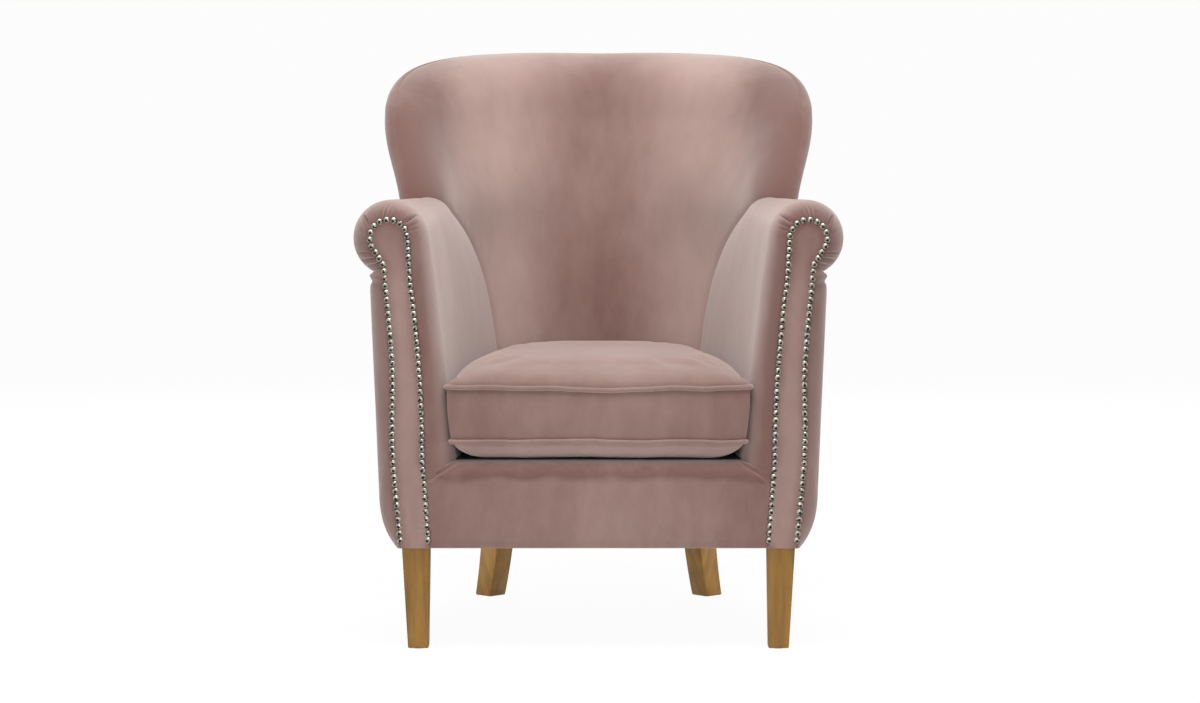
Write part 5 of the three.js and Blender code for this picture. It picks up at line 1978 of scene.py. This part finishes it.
@dataclass
class Cushion(Assembly):
    """Loose box cushion: crowned faces, boxed border and piping with a slack line."""

    arm: ArmForm
    front: float = 3
    front_half: Pair = (226, 233)
    rear: float = 542.4
    rear_radius: float = 330
    clearance: float = 1.6
    corner: float = 6
    low: float = 314.5
    high: float = 397
    crown: float = 43
    under: float = 28.3
    start_share: float = 0.94
    top_powers: Triple = (7.5, 4.4, 0.3)
    under_powers: Triple = (18, 18, 0.5)
    piping: float = 3.7
    inset: float = 7.4
    recess: float = 1.2
    bulge: float = 2.2
    sag: float = 5
    sag_width: float = 130
    slack: Triple = (2.3, 1.6, 0.5)
    slack_sizes: Triple = (120, 46, 15)
    held_width: float = 4.5
    held_corner: float = 24
    plan_points: int = 420
    pucker: float = 0.55
    pucker_size: float = 9
    soft: float = 0.6
    soft_size: float = 55
    face_rings: int = 34
    side_rings: int = 20
    start_rise: float = 0.002
    slack_share: float = 0.25
    tuck_radius: float = 4
    # The fields below set the cushion's painted light on top and underneath and its painted shade at the
    # front's ends
    nap: float = 0.37
    top_nap: float = 0.13
    top_edge: Pair = (-2, 8)
    rear_along: Pair = (60, 160)
    rear_light: float = 0.12
    ends_across: Pair = (150, 225)
    ends_dark: float = 0.12
    under_edge: Pair = (-8, 2)
    under_nap: float = 0.5
    zip_columns: int = 661
    zip_pitch: float = 0.75
    zip_rise: float = 0.35
    zip_depth: float = 1.25
    zip_inset: float = 2.4
    tooth_half: Pair = (0.9, 1.5)
    tape_seam: Triple = (1.9, 0.3, 0.15)
    tape_edge: Pair = (3.1, 3.5)

    def half_width(self, y: Grid, level: float) -> Grid:
        """Half the cushion's width at depths, where its outline at a level meets the arms.

        Args:
            y: Depths.
            level: Height of the outline.

        Returns:
            One half width for each depth.
        """
        deep = np.maximum(y, self.arm.nose)
        x, _ = self.arm.face_line(deep, np.full_like(deep, level), np.linspace(0, 0.5, 40))
        nose = 1 - np.clip(y / self.arm.nose, 0, 1)
        front = lerp(*self.front_half, (level - self.low) / (self.high - self.low))
        free = lerp(self.arm.seam[0], x, np.sqrt(1 - nose * nose))
        return np.minimum(free - self.clearance, front)

    def rear_depth(self, x: Grid) -> Grid:
        """Depth of the cushion's curved rear."""
        centre = self.rear - self.rear_radius
        return centre + np.sqrt(self.rear_radius**2 - x**2)

    def plan(self, level: float) -> Grid:
        """Closed outline at a level, in even steps, with its corners rounded.

        Args:
            level: Height of the outline.

        Returns:
            Points from the middle of the front round the right side, with x and y as columns.
        """
        y = np.linspace(self.front, self.rear, 400)
        half = self.half_width(y, level)
        inside = self.rear_depth(half) > y
        side = np.column_stack([half[inside], y[inside]])
        x = np.linspace(side[-1, 0], 0, 60)
        right = np.vstack([[0, self.front], side, np.column_stack([x, self.rear_depth(x)])])
        ring = np.vstack([right, (right * [-1, 1])[::-1][1:-1]])
        shares = np.linspace(0, 1, self.plan_points, endpoint=False)
        ring = along_path(np.vstack([ring, ring[:1]]), shares)
        step = np.linalg.norm(ring[1] - ring[0])
        for _ in range(round((self.corner / step) ** 2)):
            ring = (np.roll(ring, 1, axis=0) + 2 * ring + np.roll(ring, -1, axis=0)) / 4
        return ring

    @staticmethod
    def moved_in(ring: Grid, distance: float) -> Grid:
        """Outline moved in by a distance."""
        along = ring_tangents(ring)
        return ring + distance * np.column_stack([-along[:, 1], along[:, 0]])

    def seam_height(self, ring: Grid, level: float) -> Grid:
        """Height of a seam round the outline: slack, and lowest in the middle of the front.

        Args:
            ring: The outline.
            level: Its height before it slackens.

        Returns:
            One height for each point.
        """
        p = np.column_stack([ring, np.full(len(ring), 3 * level)])
        top = level > (self.low + self.high) / 2
        sag = top * self.sag * bell(ring[:, 0], self.sag_width) * (ring[:, 1] < self.arm.nose)
        height = level - sag
        for slack, size in zip(self.slack, self.slack_sizes):
            height = height + slack * unevenness(p, size)
        return height

    def crown_share(self, p: Grid, level: float, powers: Triple) -> Grid:
        """Height of a face over its seam, as a share of its crown.

        Args:
            p: Points of the face, with x and y as columns.
            level: Height of its seam.
            powers: How square the crown is across and along, and how steeply it starts.

        Returns:
            One share for each point.
        """
        middle = (self.front + self.rear) / 2
        beside = self.half_width(np.clip(p[:, 1], 0, self.rear), level) - self.inset
        end = np.where(p[:, 1] > middle, self.rear_depth(p[:, 0]) - self.inset, self.front + self.inset)
        across = np.minimum(1, np.abs(p[:, 0]) / beside)
        along = np.clip((p[:, 1] - middle) / (end - middle), 0, 1)
        return ((1 - across ** powers[0]) * (1 - along ** powers[1])) ** powers[2]

    def face(self, level: float, crown: float, powers: Triple) -> list[Grid]:
        """Crowned face inside a seam.

        Args:
            level: Height of the seam.
            crown: Height of the face's middle over it.
            powers: Shape of the crown.

        Returns:
            Rings of points, from the seam to the middle.
        """
        ring = self.plan(level)
        centre = np.array([0, (self.front + self.rear) / 2])
        seam = self.seam_height(ring, level)
        rings = []
        for share in 1 - np.cos(np.linspace(0, QUARTER, self.face_rings)[:-1]):
            p = lerp(self.moved_in(ring, self.inset), centre, share)
            rise = crown * self.crown_share(p, level, powers) * min(1, share / self.start_rise)
            height = lerp(seam, level, smoothstep(share, 0, self.slack_share))
            rings.append(np.column_stack([p, height + rise]))
        return rings

    def body(self, fill: float) -> Shape:
        """Closed cushion without its piping.

        Args:
            fill: Share of its full crowns.

        Returns:
            Points and faces.
        """
        top = self.face(self.high, fill * self.crown, self.top_powers)[::-1]
        under = self.face(self.low, -self.under, self.under_powers)
        upper, lower = self.plan(self.high), self.plan(self.low)
        high, low = self.seam_height(upper, self.high), self.seam_height(lower, self.low)
        side = []
        for t in np.linspace(0, 1, self.side_rings)[1:-1]:
            near = min(t, 1 - t) * (self.high - self.low)
            tuck = (self.inset - self.piping) * (1 - roundness(near, self.tuck_radius))
            inset = self.piping + self.recess - fill * self.bulge * math.sin(t * math.pi) + tuck
            ring = lerp(self.moved_in(upper, inset), self.moved_in(lower, inset), t)
            side.append(np.column_stack([ring, lerp(high, low, t)]))
        rings = top + side + under
        count = self.plan_points
        faces = grid_faces(len(rings), count, closed=True)
        faces += [tuple(range(count)), tuple((len(rings) - 1) * count + j for j in range(count))[::-1]]
        return np.vstack(rings), faces

    def held(self, p: Grid) -> Grid:
        """What the swelling doesn't move: seams, front corners and the face that rests on the platform.

        Args:
            p: Points, one a row.

        Returns:
            1 at points that are held and 0 at free ones.
        """
        at_corner = (np.abs(p[:, 0]) > self.front_half[0] - self.held_corner) & (p[:, 1] < self.held_corner)
        weight = ((p[:, 2] < self.low) | (at_corner & (p[:, 2] < self.high))).astype(float)
        for level in (self.high, self.low):
            ring = self.plan(level)
            seam = np.column_stack([self.moved_in(ring, self.inset), self.seam_height(ring, level)])
            near = np.abs(p[:, 2] - level) < 4 * self.held_width
            gap = np.full(len(p), np.inf)
            gap[near] = np.linalg.norm(p[near, None] - seam[None], axis=-1).min(1)
            weight = np.maximum(weight, (gap < self.held_width).astype(float))
        return weight

    def puckered(self, points: Grid) -> Grid:
        """Points with small puckers beside the seams and soft fullness elsewhere.

        Args:
            points: Points in the frame's metres.

        Returns:
            The points, moved.
        """
        p = self.shop.from_frame(points)
        beside = np.exp(-np.abs(p[:, 2] - self.high) / 6) + np.exp(-np.abs(p[:, 2] - self.low) / 7)
        fine = unevenness(p * DRAWN_UP, self.pucker_size, 4)
        soft = self.soft * unevenness(p, self.soft_size, 6)
        middle = np.array([0, (self.front + self.rear) / 2, (self.high + self.low) / 2])
        way = (p - middle) / np.array([230, 270, 40])
        way /= np.linalg.norm(way, axis=1, keepdims=True)
        lift = self.pucker * fine * np.minimum(beside, 1) + soft * (p[:, 2] > self.low)
        return points + way * lift[:, None] * MM

    def pipe(self, level: float) -> Shape:
        """Piping along one seam.

        Args:
            level: Height of the seam.

        Returns:
            Points and faces.
        """
        ring = self.plan(level)
        path = np.column_stack([self.moved_in(ring, self.piping), self.seam_height(ring, level)])
        radius = self.piping * (1 + 0.06 * unevenness(path, 13, level))
        return tube(path, radius, 14)

    def tone(self, p: Grid) -> Grid:
        """Tone of the cushion: painted light on its top, more towards the rear, and on the bulge underneath,
        and painted shade at the ends of its front beside the arms.

        Args:
            p: Points, one a row.

        Returns:
            One tone a point.
        """
        # painted light on the top and on the bulge underneath, painted shade at the ends of the front
        top = smoothstep(p[:, 2] - self.high, *self.top_edge)
        under = 1 - smoothstep(p[:, 2] - self.low, *self.under_edge)
        rear = self.rear_light * smoothstep(p[:, 1], *self.rear_along) * top
        ends = self.ends_dark * smoothstep(np.abs(p[:, 0]), *self.ends_across) * (1 - top)
        return self.nap + self.top_nap * top + rear + self.under_nap * under - ends

    def zip_tape(self) -> Shape:
        """Zip along the rear of the border: two tapes with a row of teeth between them.

        Returns:
            Points and faces.
        """
        low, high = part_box("cushion_zip_tape")
        reach, top, bottom = high.x / MM, high.z / MM, low.z / MM
        x = np.linspace(-reach, reach, self.zip_columns)[:, None]
        z = np.linspace(bottom, top, 15)[None, :]
        away = np.abs(z - (bottom + top) / 2)
        teeth = np.abs(np.sin(x * QUARTER / self.zip_pitch))
        tooth = self.zip_rise * (1 - smoothstep(away, *self.tooth_half)) * teeth
        place, width, sink = self.tape_seam
        out = self.zip_depth - self.zip_rise - sink * bell(away - place, width) + tooth
        out = out - 0.5 * smoothstep(away, *self.tape_edge) * (self.zip_depth - self.zip_rise)
        rear = self.rear_depth(x) - self.zip_inset
        return slab(joined(x, rear + out, z), joined(x, rear, z))

    def build(self) -> None:
        """Makes the cushion's pieces."""
        piece, shape = self.shop.piece, self.body(self.start_share)
        points = Stuffing(self.shop).swell(shape, self.held)
        shape = (self.puckered(points), shape[1])
        covers = ("cushion_core", "cushion_top_cover", "cushion_bottom_cover", "cushion_border")
        body = piece("seat_cushion", shape, "velvet", covers, Body.CUSHION, tone=self.tone, in_frame=True)
        piece("zip_teeth", self.zip_tape(), "nylon", ("cushion_zip_tape",), Body.CUSHION, tone=plain_tone)
        for name, level in (("top", self.high), ("bottom", self.low)):
            node = (f"cushion_{name}_piping",)
            piece(f"{name}_piping", self.pipe(level), "velvet", node, Body.CUSHION, tone=plain_tone)


# Studio


@dataclass(frozen=True)
class Lamp:
    """Soft rectangular lamp: where it hangs, the point that it faces, its size in metres and its watts."""

    name: str
    place: Triple
    aim: Triple
    size: Pair
    power: float
    spread: float = 2 * QUARTER

    def build(self) -> None:
        """Hangs the lamp."""
        data = bpy.data.lights.new(self.name, "AREA")
        data.shape = "RECTANGLE"
        data.size, data.size_y = self.size
        data.energy = self.power
        data.spread = self.spread
        made = bpy.data.objects.new(self.name, data)
        made.location = self.place
        made.visible_camera = False
        way = Vector(self.aim) - Vector(self.place)
        made.rotation_euler = way.to_track_quat("-Z", "Y").to_euler()
        bpy.context.scene.collection.objects.link(made)


@dataclass
class Studio(Assembly):
    """Pale floor and backdrop, soft lamps and the camera, in metres."""

    camera_height: float = 0.7992
    camera_distance: float = 5.199
    camera_side: float = 0.0023
    pitch: float = 0.06689
    focal_pixels: float = 3479.3
    image_width: float = 1200
    sensor: float = 36
    floor_half: float = 14
    backdrop: float = 9
    backdrop_rise: float = 5
    sweep: float = 1.6
    surround: float = 0.46
    paper_white: tuple[float, ...] = (0.95, 0.95, 0.95, 1)
    paper_glow: float = 0.955
    overhead: Lamp = Lamp("key_softbox", (0, -1.0, 2.9), aim=(0, 0, 0.5), size=(2.2, 1.6), power=94)
    front: Lamp = Lamp("front_fill", (0, -5, 1.1), aim=(0, 0, 0.3), size=(3.4, 1.8), power=82)
    rear: Lamp = Lamp("rear_fill", (0, 4.2, 2.2), aim=(0, 0, 0.5), size=(3.4, 1.6), power=75)
    bounce_place: Triple = (0.85, -0.1, 0.07)
    bounce_aim: Triple = (0.165, 0.18, 0.07)
    bounce_beam: tuple[Pair, float, float] = ((0.2, 0.08), 0.15, math.radians(30))

    def floor(self) -> None:
        """Floor that sweeps up into a backdrop."""
        turn = np.linspace(0, QUARTER, 24)
        profile = [(-self.floor_half, 0.0)]
        profile += [(self.backdrop + self.sweep * math.sin(t), self.sweep * (1 - math.cos(t))) for t in turn]
        profile.append((self.backdrop + self.sweep, self.backdrop_rise))
        points = [(x, y, z) for y, z in profile for x in (-self.floor_half, self.floor_half)]
        mesh = bpy.data.meshes.new("studio_floor")
        mesh.from_pydata(points, [], grid_faces(len(profile), 2))
        mesh.shade_smooth()
        mesh.materials.append(self.paper())
        made = bpy.data.objects.new("studio_floor", mesh)
        bpy.context.scene.collection.objects.link(made)

    def paper(self) -> Material:
        """White paper that keeps a soft shadow in front of the camera.

        Returns:
            The material.
        """
        material = bpy.data.materials.new("studio_paper")
        material.use_nodes = True
        g = Graph(material.node_tree)
        matt = {"Base Color": self.paper_white, "Roughness": 1, "Specular IOR Level": 0}
        shader = g.fill(g.tree.nodes["Principled BSDF"], matt)
        glow = g.add("ShaderNodeEmission", {"Color": (1, 1, 1, 1), "Strength": 1.0})
        share = g.times(g.seen(), self.paper_glow)
        mix = g.add("ShaderNodeMixShader", {0: share, 1: shader.outputs[0], 2: glow.outputs[0]})
        g.fill(g.tree.nodes["Material Output"], {"Surface": mix.outputs[0]})
        return material

    def bounce(self, side: Side) -> Lamp:
        """Weak lamp by the floor that shows the outer face of a rear leg."""
        place, aim = ((side.value * x, y, z) for x, y, z in (self.bounce_place, self.bounce_aim))
        return Lamp(side.prefix + "floor_bounce", place, aim, *self.bounce_beam)

    def lights(self) -> None:
        """A wide lamp overhead, weaker ones in front, behind and by the rear legs, and an even surround."""
        for lamp in (self.overhead, self.front, *map(self.bounce, Side), self.rear):
            lamp.build()
        world = bpy.context.scene.world or bpy.data.worlds.new("studio")
        bpy.context.scene.world = world
        world.use_nodes = True
        g = Graph(world.node_tree)
        strength = g.ramp(g.seen(), 0, 1, self.surround, 1)
        g.fill(world.node_tree.nodes["Background"], {"Color": (1, 1, 1, 1), "Strength": strength})

    def camera(self) -> None:
        """Camera at the photograph's place."""
        data = bpy.data.cameras.new("camera")
        data.sensor_width = self.sensor
        data.lens = self.sensor * self.focal_pixels / self.image_width
        made = bpy.data.objects.new("camera", data)
        made.location = (self.camera_side, self.shop.front_y - self.camera_distance, self.camera_height)
        made.rotation_euler = (QUARTER - self.pitch, 0, 0)
        bpy.context.scene.collection.objects.link(made)
        bpy.context.scene.camera = made

    def build(self) -> None:
        """Sets up floor, lights, camera and plain colours."""
        self.floor()
        self.lights()
        self.camera()
        bpy.context.scene.view_settings.view_transform = "Standard"


def main() -> None:
    """Builds the chair's looks around the frame."""
    logging.basicConfig(level=logging.INFO, format="%(message)s")
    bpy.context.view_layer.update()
    shop = Workshop(make_finishes())
    shop.dress_frame()
    back, arm = BackForm(), ArmForm()
    Back(shop, back, arm).build()
    for side in Side:
        Arm(shop, side, arm, back).build()
    Seat(shop, arm, back).build()
    Leg(shop, "front_leg", x=275, y=27.5, top=42, foot=31, out=-3).build()
    Leg(
        shop, "rear_leg", x=165.1, y=548.4, top=41, foot=36, turn=math.radians(43), out=17, back=58, power=1.6
    ).build()
    Cushion(shop, arm).build()
    Studio(shop).build()


if __name__ == "__main__":
    main()
